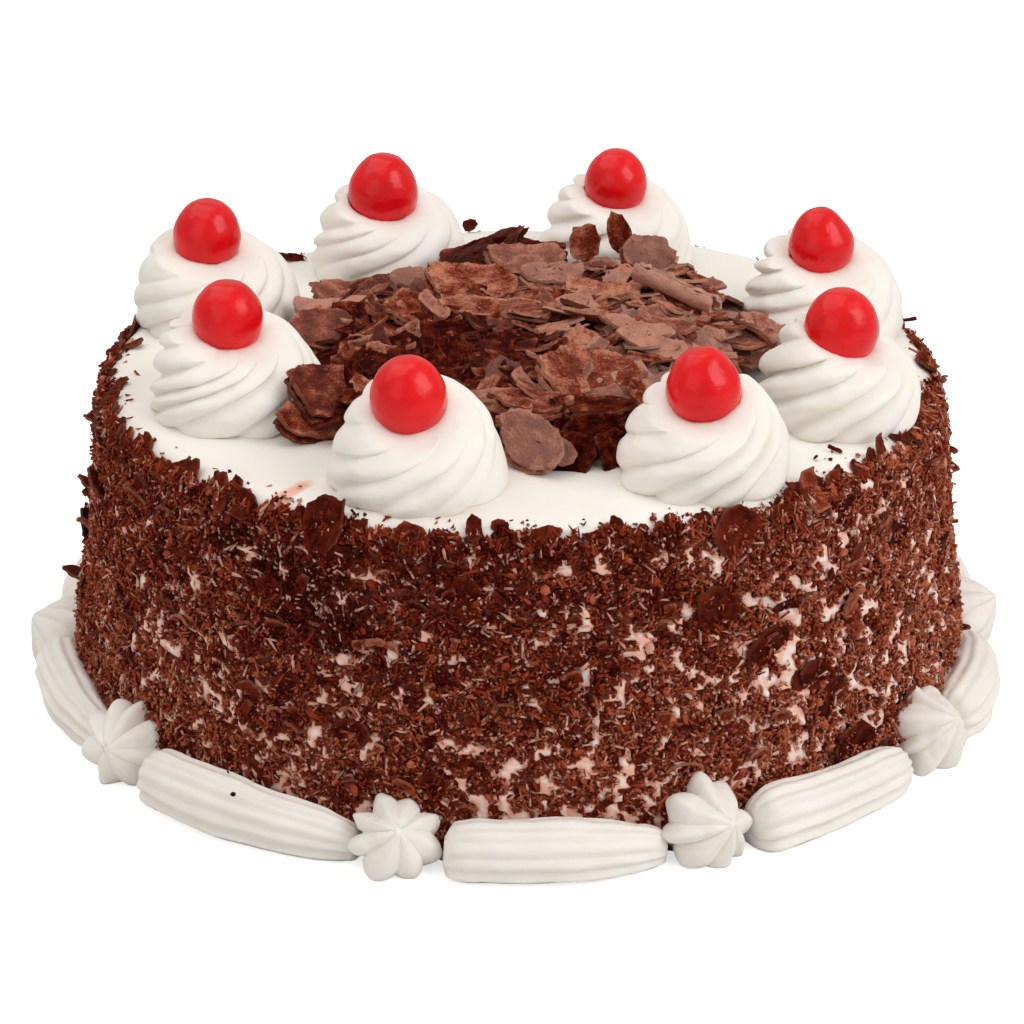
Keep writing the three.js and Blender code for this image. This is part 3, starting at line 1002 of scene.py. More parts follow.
# Larger flakes that stick to the side: kind, angle, height, width and height sizes, lean off the wall, turn
wallPlan = {
    "named": [
        ("slab", -25.4, 79.5, 0.46, 0.80, 8, -8, 0.12),
        ("shell", 28.4, 77.5, 0.66, 0.68, 8, 12, 0.20),
        ("strip", 41.7, 80.5, 0.50, 0.85, 4, 90, 0.55),
        ("strip", 45.5, 80.0, 0.34, 0.70, 10, 80, 0.35),
        ("slab", -75, 61, 0.62, 0.55, 28, 30, 0.24),
        ("slab", -92, 35, 0.5, 0.8, 17, 4, 0.10),
        ("plate", -94, 43, 0.7, 0.5, 38, 100, 0.30),
        ("plate", -89, 24, 0.55, 0.5, 48, 85, 0.25),
        ("slab", -97, 62, 0.4, 0.35, 50, 70, 0.35),
        ("plate", -86, 69, 0.4, 0.4, 45, 110, 0.4),
        ("splinter", -97, 85, 0.60, 0.65, 20, 96, 0.30),
        ("splinter", -82, 84, 0.45, 0.6, 16, 150, 0.25),
        ("plate", 97, 51, 0.75, 0.50, 16, 80, 0.50),
        ("scale", -23.1, 71.6, 0.9, 0.9, 2, 10, 0.08),
        ("scale", -6.7, 66.5, 1.0, 0.9, 2, 70, 0.10),
        ("plate", 25.5, 59, 0.55, 0.95, 3, 20, 0.14),
        ("plate", 32.6, 46.9, 0.75, 0.6, 3, 42, 0.12),
        ("plate", 40.2, 35.5, 0.7, 0.55, 3, 150, 0.10),
        ("strip", 47.1, 47.0, 0.62, 0.8, 5, 110, 0.50),
        ("strip", 48.1, 60.0, 0.5, 0.6, 4, 80, 0.30),
        ("plate", 73, 43.5, 0.7, 0.45, 4, 92, 0.04),
        ("scale", -29.8, 38.2, 0.8, 0.8, 3, 0, 0.12),
        ("slab", 45.7, 14.9, 0.65, 0.5, 3, 12, 0.10),
        ("scale", 23.4, 56.8, 0.8, 0.7, 3, 30, 0.12),
        ("scale", 43.2, 29.5, 0.85, 0.8, 3, 60, 0.10),
    ],
    # bits that fell on the cream: kind, right, back, up, size and tone
    "fallen": [
        ("scale", -67.5, -103.3, 13.6, 0.13, 0.05),
        ("scale", -69.2, -95.1, 15.2, 0.09, 0.1),
        ("strip", 100.3, 29.0, 83.0, 0.30, 0.1),
        ("scale", 103, 14.7, 82.6, 0.26, 0.08),
        ("scale", -13.5, 100, 83.6, 0.45, 0.16),
        ("strip", -62.6, 75.5, 83.2, 0.42, 0.1),
        ("scale", -58, 76.3, 83.0, 0.2, 0.12),
        ("strip", 62, -66, 83.0, 0.16, 0.1),
        ("scale", 71, -62, 82.8, 0.16, 0.1),
        ("strip", 76, -57, 82.8, 0.18, 0.15),
        ("scale", 84, -45, 82.8, 0.15, 0.1),
    ],
    "count": 165,  # darker flakes all round
    "loose": 200,  # small ones that stand off the wall
    "rim": 280,  # and blocky ones on the upper edge
}


def makeWallFlakes():
    picker = np.random.default_rng(91)
    names = ["scale", "plate", "strip", "slab", "shell", "splinter"]
    shapes = [flakeShape(kind, 700 + n, wallChocolate) for n, kind in enumerate(names)]
    rows = [(names.index(kind), *row) for kind, *row in wallPlan["named"]]
    stick = [0.6] * len(rows)
    # kinds, places up the wall, sizes, leans, tones and how far off the wall
    groups = {
        "count": ([0, 0, 0, 1, 1, 2, 2, 5], (6, 76), (0.22, 0.62), (-4, 14), (0.02, 0.34), 0.35),
        "loose": ([0, 1, 2, 2, 5], (8, 78), (0.16, 0.38), (15, 60), (0.2, 0.62), 1.1),
        "rim": ([0, 0, 1, 2], (-0.8, 2.0), (0.2, 0.44), (-4, 14), (0.1, 0.42), 0.35),
    }
    for group, (choices, rise, sizes, leans, tones, off) in groups.items():
        for _ in range(wallPlan[group]):
            degrees = picker.uniform(-180, 180)
            along = picker.uniform(*rise)
            if group == "rim":
                along = crumbEdge(degrees) - along
            wide, high = picker.uniform(*sizes) * picker.uniform(0.75, 1.2, 2)
            turn = picker.uniform(0, 360)
            kind = picker.choice(choices)
            lean, tone = picker.uniform(*leans), picker.uniform(*tones)
            rows.append((kind, degrees, along, wide, high, lean, turn, tone))
            stick.append(off)
    kinds, degrees, along, wide, high, lean, turn, tone = np.array(rows).T
    stick = np.array(stick)
    spots, frames = onWall(degrees, along, stick)
    turns = frames @ rotations(0, lean) @ rotations(2, turn)
    turns = stretched(turns, np.stack([wide, high, np.full(len(rows), 0.8)], 1))
    looks = np.stack([tone, np.zeros(len(rows))], 1)
    for number, (kind, right, back, up, size, tone) in enumerate(wallPlan["fallen"]):
        kinds = np.append(kinds, names.index(kind))
        spots = np.vstack([spots, (right, back, up)])
        turns = np.concatenate([turns, flakePose(number * 77, -12, 40)[None] * size])
        looks = np.vstack([looks, (tone, 0)])
    cocoaSide = (wallChocolate, "shavings", "cake_body")
    layFlakes("sideFlakes", shapes, kinds.astype(int), spots, turns, looks, *cocoaSide)


makeWallFlakes()
print("side flakes made")

# Swirls, piped in one go from foot to rim, and their cherries

swirlPlan = {
    # angle and distance of each swirl's axis, its radius, its number of flutes, the depth of its creases, and
    # its rim: the mean height from the cherry's centre, how much higher its high side is, and which it is
    "places": {
        "front_left": (-17.5, 79.7, 21.8, 8, 0.62, -2.9, 4.6, 122),
        "front_right": (32.1, 82.5, 21.6, 8, 0.95, -3.4, 3.4, 112),
        "right_front": (68.2, 84.3, 21.4, 8, 1.15, -2.9, 3.0, 175),
        "right_back": (109.2, 83.3, 22, 8, 1.1, -4.0, 3.0, 140),
        "back_right": (161, 80, 21.2, 8, 1.0, -3.8, 2.6, 150),
        "back_left": (206.3, 77.2, 21.8, 8, 1.0, -3.4, 2.8, 150),
        "left_back": (246.9, 85, 22, 7, 0.8, -4.2, 2.2, 150),
        "left_front": (292.4, 74.8, 22.3, 11, 1.15, -4.2, 2.4, 150),
    },
    "twist": 122,  # degrees that the flutes turn on their way up
    "twistLow": 0.55,  # share of the turning that is even, the rest grows towards the rim
    "dome": 24.5,  # height that the dome would have without its cherry
    "crease": 0.15,
    # across one flute: share of its width, and share of the crease's depth
    "fluteShape": [(0, 1.0), (0.11, 0.6), (0.28, 0.18), (0.5, 0.0), (0.75, 0.14), (0.92, 0.56)],
    "rises": [0, 0.04, 0.12, 0.22, 0.33, 0.44, 0.55, 0.65, 0.74, 0.82, 0.89, 0.95, 1],
    "foot": 0.94,
    "lip": 2.3,  # width of the rim
    "sink": 1.2,  # how deep the foot sits in the cover
}


def domeSize(up):
    # the dome's radius as a share, at that share of its height
    return max(0, 1 - up**2.6) ** (1 / 2.2)


def moveCorner(corner, size, turn):
    # moves one corner of a circle in or out, and round it by that many degrees
    pick(lambda v: v.index == corner)
    sizePicked((size, size, 1))
    turnPicked(-math.radians(turn))


def startCircle(number, flutes, creases):
    # the fluted outline that a swirl is piped with: no two flutes are alike
    plan = swirlPlan
    points = len(plan["fluteShape"])
    widths = [between(number * 31 + n, 0.6, 1.6) for n in range(flutes)]
    deeps = [between(number * 37 + n, 0.25, 1.65) for n in range(flutes)]
    grown = 360 / sum(widths)
    start = 0.0
    for flute in range(flutes):
        for index, (share, depth) in enumerate(plan["fluteShape"]):
            corner = flute * points + index
            turn = start + share * widths[flute] * grown - corner * 360 / (points * flutes)
            deep = mix(deeps[flute], deeps[flute - 1], 0.5) if index == 0 else deeps[flute - (index > 3)]
            size = 1 - plan["crease"] * depth * creases * deep
            moveCorner(corner, size, turn)
        start += widths[flute] * grown
    selectAll()
    turnPicked(-between(number + 500, 0, math.tau))


def makeSwirl(number, place):
    plan = swirlPlan
    angle, distance, radius, flutes, creases, rimMiddle, rimRise, rimWay = plan["places"][place]
    low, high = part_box(f"cherry_{place}")
    fruit = (low + high) / 2
    halfWide = (high.x - low.x) / 2
    axis = around(angle, distance, 0) * mm
    lean = (fruit - axis) * Vector((1, 1, 0))
    foot = (cake["height"] - plan["sink"]) * mm
    middleRim = fruit.z + rimMiddle * mm
    rimReach = halfWide / mm + plan["lip"]
    hinge = math.radians(rimWay)  # the rim tips about a level line, and its high side faces this way
    tiltAll = math.asin(rimRise / rimReach)
    clearSelection()
    bpy.ops.mesh.primitive_circle_add(
        vertices=len(plan["fluteShape"]) * flutes, radius=radius * 1.01 * mm, fill_type="NGON"
    )
    piece = bpy.context.object
    piece.name = f"swirl_{place}_piped"
    startEdit()
    startCircle(number, flutes, creases)
    movePicked((axis.x, axis.y, foot))
    sizePicked((plan["foot"], plan["foot"], 1), (axis.x, axis.y, foot))
    lastCentre = Vector((axis.x, axis.y, foot))
    lastSize = plan["foot"]
    rimSize = rimReach / radius
    rises = plan["rises"]
    for step in range(1, len(rises)):
        rise, before = rises[step], rises[step - 1]
        height = foot + (middleRim - foot) * rise
        size = max(domeSize((height - foot) / mm / plan["dome"]), rimSize)
        size *= mix(plan["foot"], 1, min(1, rise / 0.14))
        wobble = between(number * 40 + step, -0.012, 0.012)
        centre = Vector((axis.x + lean.x * rise**2, axis.y + lean.y * rise**2, height))
        extrudePicked(centre - lastCentre)
        scale = (size + wobble) / lastSize
        sizePicked((scale, scale, 1), centre)
        turn = plan["twist"] * mix(rise**2 - before**2, rise - before, plan["twistLow"])
        turnPicked(-math.radians(turn), centre=centre)
        tip = tiltAll * (rise**1.6 - before**1.6)
        turnPicked(-tip * math.cos(hinge + math.pi), "X", centre)
        turnPicked(tip * math.sin(hinge), "Y", centre)
        lastCentre, lastSize = centre, size + wobble
    # the cup: over the lip and down along the cherry, which the cream clings to
    piece.vertex_groups.new(name="cup")
    for depth, reach in ((0.1, 0.9), (-1.6, 0.76), (-4.5, 0.6)):
        centre = lastCentre + Vector((0, 0, depth * mm))
        scale = halfWide * reach / (lastSize * radius * mm)
        extrudePicked(centre - lastCentre)
        sizePicked((scale, scale, 1), centre)
        bpy.ops.object.vertex_group_assign()
        lastCentre, lastSize = centre, lastSize * scale
    closeShape()
    endEdit()
    smoothPiece(piece, 2)
    cling = piece.modifiers.new("cling", "SHRINKWRAP")
    cling.target = bpy.data.objects[f"cherry_{place}_fruit"]
    cling.offset = -0.15 * mm
    cling.vertex_group = "cup"
    applyModifiers(piece)
    soft = piece.vertex_groups.new(name="foot")
    for vertex in piece.data.vertices:
        risen = (vertex.co.z - foot) / (middleRim - foot)
        soft.add([vertex.index], clamped(1.05 - 1.25 * risen), "REPLACE")
    melt = piece.modifiers.new("melt", "SMOOTH")
    melt.factor = 0.5
    melt.iterations = 14
    melt.vertex_group = "foot"
    roughen(piece, 13, between(number + 60, 1.2, 1.9))
    roughen(piece, 5, 0.5)
    applyModifiers(piece)
    piece.data.shade_smooth()
    piece.data.materials.append(swirlCream)
    finish(piece, "cream", f"swirl_{place}")


cherryPlan = {
    # width at the top against the middle, flatness of the foot, and how far it leans right and back
    "shapes": {
        "front_left": (0.97, 0.0, -4, 0),
        "front_right": (0.90, 0.1, -7, 0),
        "right_front": (0.96, 0.0, -3, 2),
        "right_back": (0.86, 0.15, -9, 0),
        "back_right": (0.93, 0.2, 0, 0),
        "back_left": (0.93, 0.15, 3, 0),
        "left_back": (0.95, 0.6, 3, 0),
        "left_front": (0.98, 0.1, 2, 0),
    },
    "dimple": (0.45, 2.6),  # depth of the stem's mark, and its reach
    "wrinkles": [(6, 0.5), (1.6, 0.1)],
}


def makeCherry(number, place):
    top, flat, right, back = cherryPlan["shapes"][place]
    low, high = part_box(f"cherry_{place}")
    centre = (low + high) / 2
    radius = (high - low).x / 2
    tall = (high - low).z / 2 / radius
    clearSelection()
    bpy.ops.mesh.primitive_uv_sphere_add(segments=40, ring_count=24, radius=radius)
    piece = bpy.context.object
    piece.name = f"cherry_{place}_fruit"
    startEdit()
    pick(lambda v: v.co.z > 0.985 * radius)
    dimple, reach = cherryPlan["dimple"]
    bpy.ops.transform.translate(value=(0, 0, -dimple * mm), **softly(reach * mm))
    pick(lambda v: v.co.z > 0.62 * radius)
    size = (top, top, 1 + (1 - top) * 0.2)
    bpy.ops.transform.resize(value=size, center_override=origin, **softly(radius))
    pick(lambda v: v.co.z < -0.78 * radius)
    size = (1 + flat * 0.25, 1 + flat * 0.25, 1 - flat * 0.3)
    bpy.ops.transform.resize(value=size, center_override=origin, **softly(0.7 * radius))
    endEdit()
    smoothPiece(piece, 1)
    applyModifiers(piece)
    turn = Matrix.Rotation(between(number + 70, 0, math.tau), 4, "Z")
    nod = Matrix.Rotation(math.radians(right), 4, "Y") @ Matrix.Rotation(math.radians(-back), 4, "X")
    piece.data.transform(Matrix.Translation(centre) @ nod @ turn @ Matrix.Diagonal((1, 1, tall, 1)))
    for size, strength in cherryPlan["wrinkles"]:
        roughen(piece, size, strength)
    applyModifiers(piece)
    piece.data.shade_smooth()
    piece.data.materials.append(cherrySkin)
    finish(piece, "cherry", f"cherry_{place}")


for number, place in enumerate(swirlPlan["places"]):
    makeCherry(number, place)
    makeSwirl(number, place)
print("swirls and cherries made")

# The border round the foot: a star and a log ten times over

border = {
    "starAngles": [-13.8, 22.7, 60, 95, 131, 167, 203, 238, 271, 305.4],
    "starRadius": 11.6,
    "starTilt": 34,  # how far its nose points above level
    "starFlutes": 8,
    "starGroove": 0.73,
    "starShape": [(0, 0.0), (0.06, 0.34), (0.24, 0.7), (0.5, 1.1), (0.76, 0.7), (0.94, 0.34)],
    "starOutline": [
        (-8.5, 0.86),
        (-4, 1.0),
        (-1.6, 1.0),
        (0.6, 0.9),
        (2.6, 0.73),
        (4.4, 0.54),
        (5.9, 0.36),
        (7.0, 0.2),
        (7.8, 0.07),
    ],
    "starPoint": 0.16,  # how far the pointed petals reach past the round ones
    "starPull": 2.2,  # how far its petals are dragged about
    "starMiddle": (7.0, 8.8),  # out from the cake's foot and up
    "starTurns": {1: (28, 42), 2: (16, 24), 10: (30, 20)},  # stars that were piped askew: turn and tilt
    "room": 5.6,  # degrees that a star takes on either side
    "corner": 112.3,
    "reach": 125,
    "height": 15,
    "logFlutes": 13,
    "logShape": [0.84, 0.94, 1.03, 0.94],  # across one ridge
    # along a log: share of its length and size of the ring there
    "logFullness": [
        (-0.012, 0.5),
        (0, 0.7),
        (0.02, 0.86),
        (0.07, 0.98),
        (0.2, 1.02),
        (0.4, 1.0),
        (0.6, 0.93),
        (0.78, 0.84),
        (0.92, 0.7),
        (1, 0.56),
        (1.012, 0.38),
    ],
}


def makeStar(number, angle):
    plan = border
    points = len(plan["starShape"])
    clearSelection()
    bpy.ops.mesh.primitive_circle_add(
        vertices=points * plan["starFlutes"], radius=plan["starRadius"] * mm, fill_type="NGON"
    )
    piece = bpy.context.object
    piece.name = f"star_{number:02d}_piped"
    startEdit()
    widths = [between(number * 23 + flute, 0.68, 1.4) for flute in range(plan["starFlutes"])]
    start = 0.0
    for flute, width in enumerate(widths):
        petal = between(number * 29 + flute, 0.92, 1.06)
        pointed = max(0, between(number * 41 + flute, -0.9, 1.0))
        for index, (share, fullness) in enumerate(plan["starShape"]):
            groove = plan["starGroove"] * between(number * 9 + flute - (index > 3), 0.86, 1.1)
            depth = mix(groove, petal, fullness)
            depth *= 1 + (plan["starPoint"] * pointed if index == 3 else 0)
            corner = flute * points + index
            shift = (start + share * width) / sum(widths) * 360 - corner * 360 / (points * plan["starFlutes"])
            moveCorner(corner, depth, shift)
        start += width
    selectAll()
    lastAlong, lastSize = 0.0, 1.0
    drift = [between(number + 580, -0.12, 0.12), between(number + 581, -0.12, 0.12)]
    for row, (along, size) in enumerate(plan["starOutline"]):
        step = (along - lastAlong) * mm
        aside = (drift[0] * step, drift[1] * step, step)
        if row:
            extrudePicked(aside)
        else:
            movePicked(aside)
        scale = size / lastSize
        centre = (drift[0] * along * mm, drift[1] * along * mm, along * mm)
        sizePicked((scale, scale, 1), centre)
        turnPicked(-math.radians(between(number + 590, -1.5, 3.5)), centre=centre)
        lastAlong, lastSize = along, size
    for pull in range(5):
        way = math.radians(between(number * 11 + pull, 0, 360))
        spot = Vector((math.cos(way), math.sin(way), 0)) * plan["starRadius"] * mm
        pick(lambda v: (v.co - spot).length < 3.5 * mm)
        push = plan["starPull"] * between(number * 13 + pull, -0.7, 1.0)
        bpy.ops.transform.translate(value=spot.normalized() * push * mm, **softly(5 * mm))
    closeShape()
    endEdit()
    outward, high = plan["starMiddle"]
    turned = Matrix.Rotation(math.radians(angle), 4, "Z")
    place = Matrix.Translation((0, -(cake["baseRadius"] + outward) * mm, high * mm))
    even = (between(number + 610, -8, 8), plan["starTilt"] + between(number + 600, -7, 7))
    turn, tilt = plan["starTurns"].get(number, even)
    tip = Matrix.Rotation(math.radians(turn), 4, "Z")
    tip = tip @ Matrix.Rotation(math.radians(90 - tilt), 4, "X")
    size = between(number + 540, 0.97, 1.04)
    spin = Matrix.Rotation(math.radians(between(number + 541, 0, 45)), 4, "Z")
    piece.data.transform(turned @ place @ tip @ spin @ Matrix.Scale(size, 4))
    return piece


def makeLog(number, angle, length):
    # piped round the cake's foot, so every ring is turned about the cake's axis
    plan = border
    points = len(plan["logShape"])
    out = plan["reach"] - plan["corner"]
    middle = Vector((0, -(plan["corner"] + 0.5 * out) * mm, 0.39 * plan["height"] * mm))
    tall = 0.61 * plan["height"] * mm
    clearSelection()
    bpy.ops.mesh.primitive_circle_add(
        vertices=points * plan["logFlutes"],
        radius=tall,
        fill_type="NGON",
        location=middle,
        rotation=(0, math.pi / 2, 0),
    )
    piece = bpy.context.object
    piece.name = f"log_{number:02d}_piped"
    bpy.ops.object.transform_apply(location=True, rotation=True, scale=True)
    startEdit()
    corners = [v.co.copy() - middle for v in bmesh.from_edit_mesh(piece.data).verts]
    for ridge in range(plan["logFlutes"]):
        upward = corners[ridge * points].z / tall
        deep = between(number * 17 + ridge, 0.5, 1.5) * mix(1.5, 0.45, clamped(upward + 0.2))
        for index, size in enumerate(plan["logShape"]):
            corner = ridge * points + index
            depth = 1 - (1 - size) * deep
            pick(lambda v: v.index == corner)
            sizePicked((1, depth, depth), middle)
    selectAll()
    sizePicked((1, 0.56 * out * mm / tall, 1), middle)
    lastAlong, lastSize = 0.5, 1.0
    for row, (along, size) in enumerate(plan["logFullness"]):
        size *= between(number * 19 + row, 0.935, 1.055)
        if row:
            extrudePicked(origin)
        turnPicked(-math.radians((along - lastAlong) * length))
        scale = size / lastSize
        sizePicked((scale, scale, scale), around((along - 0.5) * length, plan["corner"], 0) * mm)
        lastAlong, lastSize = along, size
    closeShape()
    endEdit()
    piece.data.transform(Matrix.Rotation(math.radians(angle), 4, "Z"))
    return piece


def cutFloor(piece):
    take(piece)
    startEdit()
    bpy.ops.mesh.bisect(plane_co=(0, 0, 0), plane_no=(0, 0, 1), clear_inner=True, use_fill=True)
    endEdit()


def makeBorder():
    plan = border
    angles = plan["starAngles"]
    for number, angle in enumerate(angles, 1):
        following = angles[number] if number < len(angles) else angles[0] + 360
        length = following - angle - 2 * plan["room"]
        star = makeStar(number, angle)
        log = makeLog(number, (angle + following) / 2, length)
        for piece, node in ((star, f"star_{number:02d}"), (log, f"log_{number:02d}")):
            smoothPiece(piece, 2)
            roughen(piece, 11, 1.6)
            roughen(piece, 3, 0.5)
            applyModifiers(piece)
            cutFloor(piece)
            piece.data.shade_smooth()
            piece.data.materials.append(borderCream)
            finish(piece, "cream", node)


makeBorder()
print("border made")

# The heap of scraped chocolate

heap = {
    "core": [(0, 82.0), (58, 82.0), (57, 84.5), (54, 87.5), (48, 90), (37, 91.8), (20, 93), (0, 93.4)],
    "coreSteps": 96,
    # count, how far above the core, size, how far they tip at random, their tones and kinds; the lower layers
    # are darker, painted shade in the gaps
    "layers": [
        (110, -2.6, (0.9, 1.3), 11, (0.0, 0.12), "broad"),
        (96, -0.5, (0.6, 1.0), 20, (0.08, 0.72), "broad"),
        (80, 0.8, (0.22, 0.55), 20, (0.3, 0.9), "broad"),
        (290, 0.6, (0.3, 0.75), 17, (0.08, 0.95), "thin"),
    ],
    "spacing": 137.508,  # degrees from one flake to the next, which spreads them evenly
    "bits": 700,  # crumbs that lie on the flakes
    "bitSize": (0.2, 0.6),
    "leaves": 1.35,  # how far under a flake its next leaf lies
    "broad": ["slab", "plate", "wedge", "shell", "sheet", "strip", "sheet", "slab", "plate"],
    "thin": ["splinter", "strip", "crescent", "splinter", "wedge"],
    "clear": 8,  # small flakes keep this far from the named ones
    # painted shade: where the loose flakes are dark in the hollows: right, back, reach
    "shadedHollows": [(-10, -27, 24), (14, -64, 16), (-42, -36, 14)],
    "sag": 4.5,  # how much lower its left back is
}

swirlStands = [(around(row[0], row[1], 0), row[2]) for row in swirlPlan["places"].values()]


def heapEdge(degrees, clearance):
    # how far the heap reaches at that angle before it meets a swirl or its own edge
    reach = cake["heapReach"]
    while min((around(degrees, reach, 0) - axis).length - radius for axis, radius in swirlStands) < clearance:
        reach -= 0.5
    return reach


def heapSag(degrees, share):
    # it lies lower towards the left back
    away = math.radians(degrees - 228)
    return heap["sag"] * max(0, math.cos(away)) ** 2 * min(1, share * 1.4)


def heapRise(share):
    return cake["heapHeight"] * max(0, 1 - min(share, 1) ** 3.2) ** 0.6


# flakes that the eye finds first: kind, place (right, back, up), heading, pitch, roll, length and width
# sizes, tone and bloom
namedFlakes = [
    ("wedge", (-5.6, 46.6, 98.6), -3, 31, 70, 1.25, 0.32, 0.10, 0.2),  # dark shards that point up and right
    ("wedge", (-9.8, 46.9, 96.4), -4, 25, 62, 1.1, 0.36, 0.03, 0),
    ("wedge", (-4.6, 47.3, 96.4), -6, 36, 66, 0.9, 0.26, 0.16, 0.3),
    ("wedge", (-11, 45.5, 93.8), -3, 14, 50, 1.0, 0.6, 0.1, 0.1),
    ("strip", (5.5, 48.5, 96.2), -8, -4, 12, 0.65, 0.6, 0.1, 0),
    ("scale", (17.2, 45, 98.5), 4, 4, 74, 0.85, 1.1, 0.42, 0),  # two rounded flakes that stand at the back
    ("scale", (26.3, 46, 100), 12, 18, 70, 0.62, 1.35, 0.24, 0),
    ("plate", (34, 40, 97.5), -6, -3, 62, 0.72, 0.7, 0.42, 0.95),  # the greyish plate beside them
    ("scroll", (39.7, 10.8, 96.6), -122, 0, -13, 1.0, 1.15, 0.9, 1.2),  # the long pale curl
    ("scale", (49.4, 14, 94.5), 60, 10, 65, 0.45, 0.6, 0.4, 0),
    ("shell", (17, -41, 95.0), 20, -12, 28, 1.4, 1.2, 0.47, 0.1),  # the broad rounded plate in the middle
    ("crescent", (30.5, -16, 97.8), -20, -6, 14, 1.0, 0.75, 0.76, 0.9),
    ("crescent", (34.4, -24, 96.6), -32, -10, 22, 1.1, 0.95, 0.7, 0.9),
    ("shell", (3.5, -66, 88.4), -46, -26, 44, 1.0, 0.72, 0.42, 0.8),  # steep plates between the front swirls
    ("scale", (10, -67.5, 86.5), -40, -34, 40, 0.8, 0.7, 0.34, 0.7),
    ("plate", (19, -60, 88.4), 4, -2, 74, 0.95, 0.7, 0.0, 0),
    ("plate", (14, -65, 86), -14, -8, 66, 0.5, 0.6, 0.02, 0),
    ("wedge", (24, -63, 86), 30, 10, 60, 0.6, 0.7, 0.05, 0),
    ("plate", (3.9, -54.5, 94), -4, -3, 14, 0.95, 0.6, 0.5, 0.1),
    ("plate", (18.5, -55, 93.2), 2, -3, 10, 1, 0.6, 0.12, 0),
    ("strip", (-9.3, -50.9, 93.5), 20, -5, 14, 0.8, 0.9, 0.55, 0.6),
    ("slab", (-27.9, -1.1, 96.6), 60, 6, 24, 0.62, 0.7, 0.55, 0),  # brown plates left of the middle
    ("slab", (-12, 17, 97.2), -8, -2, 13, 1.05, 1, 0.62, 0),
    ("plate", (-6, -1.5, 97.6), -3, -1, 8, 1.5, 0.75, 0.6, 0.2),
    ("strip", (-20.5, -2, 98), -60, -6, 28, 0.62, 0.6, 0.8, 0.6),
    ("plate", (-5, -22, 96), -6, -2, 8, 1, 0.7, 0.14, 0.05),
    ("plate", (-3.5, -33, 95.2), -4, -2, 10, 0.9, 0.7, 0.1, 0.05),
    ("strip", (-47, 20, 90), 2, 3, 10, 1, 1.2, 0.82, 1),  # pale flat plate at the left
    ("plate", (-48.7, -3.1, 92.5), 18, -3, 34, 1, 0.95, 0.4, 0.3),
    ("wedge", (-57, 9, 88.6), 186, -8, 14, 0.9, 0.8, 0.4, 0.2),
    ("slab", (-46, -40, 90.5), 32, -16, 36, 1.1, 0.9, 0.34, 0.1),  # lower left, sloping to the front
    ("plate", (-50, -48, 86.5), 24, -14, 44, 1, 0.7, 0.5, 0),
    ("plate", (8.3, 23.2, 98), 10, 0, 10, 0.85, 0.75, 0.5, 1),
    ("strip", (20.4, 12, 97.6), -14, 2, 14, 0.8, 1.1, 0.66, 0.15),
    ("plate", (56.1, -4.5, 91.3), -12, -5, 16, 0.9, 0.6, 0.55, 0.6),
    ("plate", (64, 12, 88.6), -8, -4, 10, 0.8, 0.5, 0.6, 0.7),  # right edge
    ("strip", (66, 9, 87.6), -24, -5, 14, 0.6, 0.8, 0.5, 0.3),
    ("plate", (43.6, 11.8, 95.6), -16, -4, 14, 0.9, 0.8, 0.3, 0.1),
    ("plate", (35.2, -11.9, 96.6), -10, -2, 10, 0.9, 0.7, 0.5, 0.3),
    ("slab", (-43, 36, 86.5), 14, -4, 16, 1, 0.8, 0.6, 0.4),
    ("plate", (-24, 34, 92.4), 8, 0, 10, 1, 0.8, 0.45, 0.9),
    ("slab", (2, 36, 96.8), -6, 2, 12, 0.9, 0.8, 0.5, 0.5),
]


def makeHeapCore():
    piece = spinOutline("heapCore", heap["core"], heap["coreSteps"])
    smoothPiece(piece, 2)
    roughen(piece, 12, 2.5)
    roughen(piece, 3, 1.2)
    applyModifiers(piece)
    for vertex in piece.data.vertices:
        place = vertex.co / mm
        if place.z > cake["height"] + 1:
            fall = heapSag(angleOf(place), place.xy.length / 60)
            vertex.co.z -= min(fall, place.z - cake["height"] - 1) * mm
    piece.data.shade_smooth()
    # the core is the darkest chocolate: painted shade in the gaps between the flakes
    for mark, value in (("tone", 0.05), ("bloom", 0.0), ("edge", 0.0)):
        setMark(piece.data, mark, [value] * len(piece.data.vertices))
    setMark(piece.data, "grain", [c / mm for v in piece.data.vertices for c in v.co], "FLOAT_VECTOR")
    piece.data.materials.append(heapShadeCore)
    finish(piece, "flakes", "flake_heap")


def heapPaintedLight(place):
    # painted light and shade: paler towards the lit right, and dark in the shaded hollows
    paintedShade = max(0, max(1 - (place.xy - Vector((x, y))).length / reach for x, y, reach in heap["shadedHollows"]))
    return 0.035 + 0.16 * place.x / 60 - 1.1 * paintedShade, paintedShade


def makeBits(flakes):
    picker = np.random.default_rng(57)
    shapes = [crumbShape(kind, 800 + n) for n, kind in enumerate(("shred", "dust", "shred", "dust"))]
    trees = [BVHTree.FromObject(piece, bpy.context.evaluated_depsgraph_get()) for piece in flakes]
    spots, turns, looks = [], [], []
    while len(spots) < heap["bits"]:
        degrees = picker.uniform(0, 360)
        place = around(degrees, heapEdge(degrees, 1) * math.sqrt(picker.random()), 130)
        hits = [tree.ray_cast(place * mm, Vector((0, 0, -1))) for tree in trees]
        hits = [hit for hit in hits if hit[0]]
        if not hits:
            continue
        spot, normal = max(hits, key=lambda hit: hit[0].z)[:2]
        spots.append(spot / mm + normal * 0.1)
        lie = Matrix.Rotation(picker.uniform(0, math.tau), 3, "Z")
        lie = normal.to_track_quat("Z", "Y").to_matrix() @ lie
        turns.append(np.array(lie) * picker.uniform(*heap["bitSize"]))
        tone, paintedShade = heapPaintedLight(place)
        looks.append((max(0, tone + picker.uniform(0.35, 0.85)), max(0, picker.uniform(-1.2, 1) - 2 * paintedShade)))
    kinds = picker.integers(0, len(shapes), len(spots))
    arrays = [np.array(values) for values in (spots, turns, looks)]
    piece = scatter("heapBits", shapes, kinds, *arrays, [scrapedChocolate])
    finish(piece, "flakes", "flake_heap")


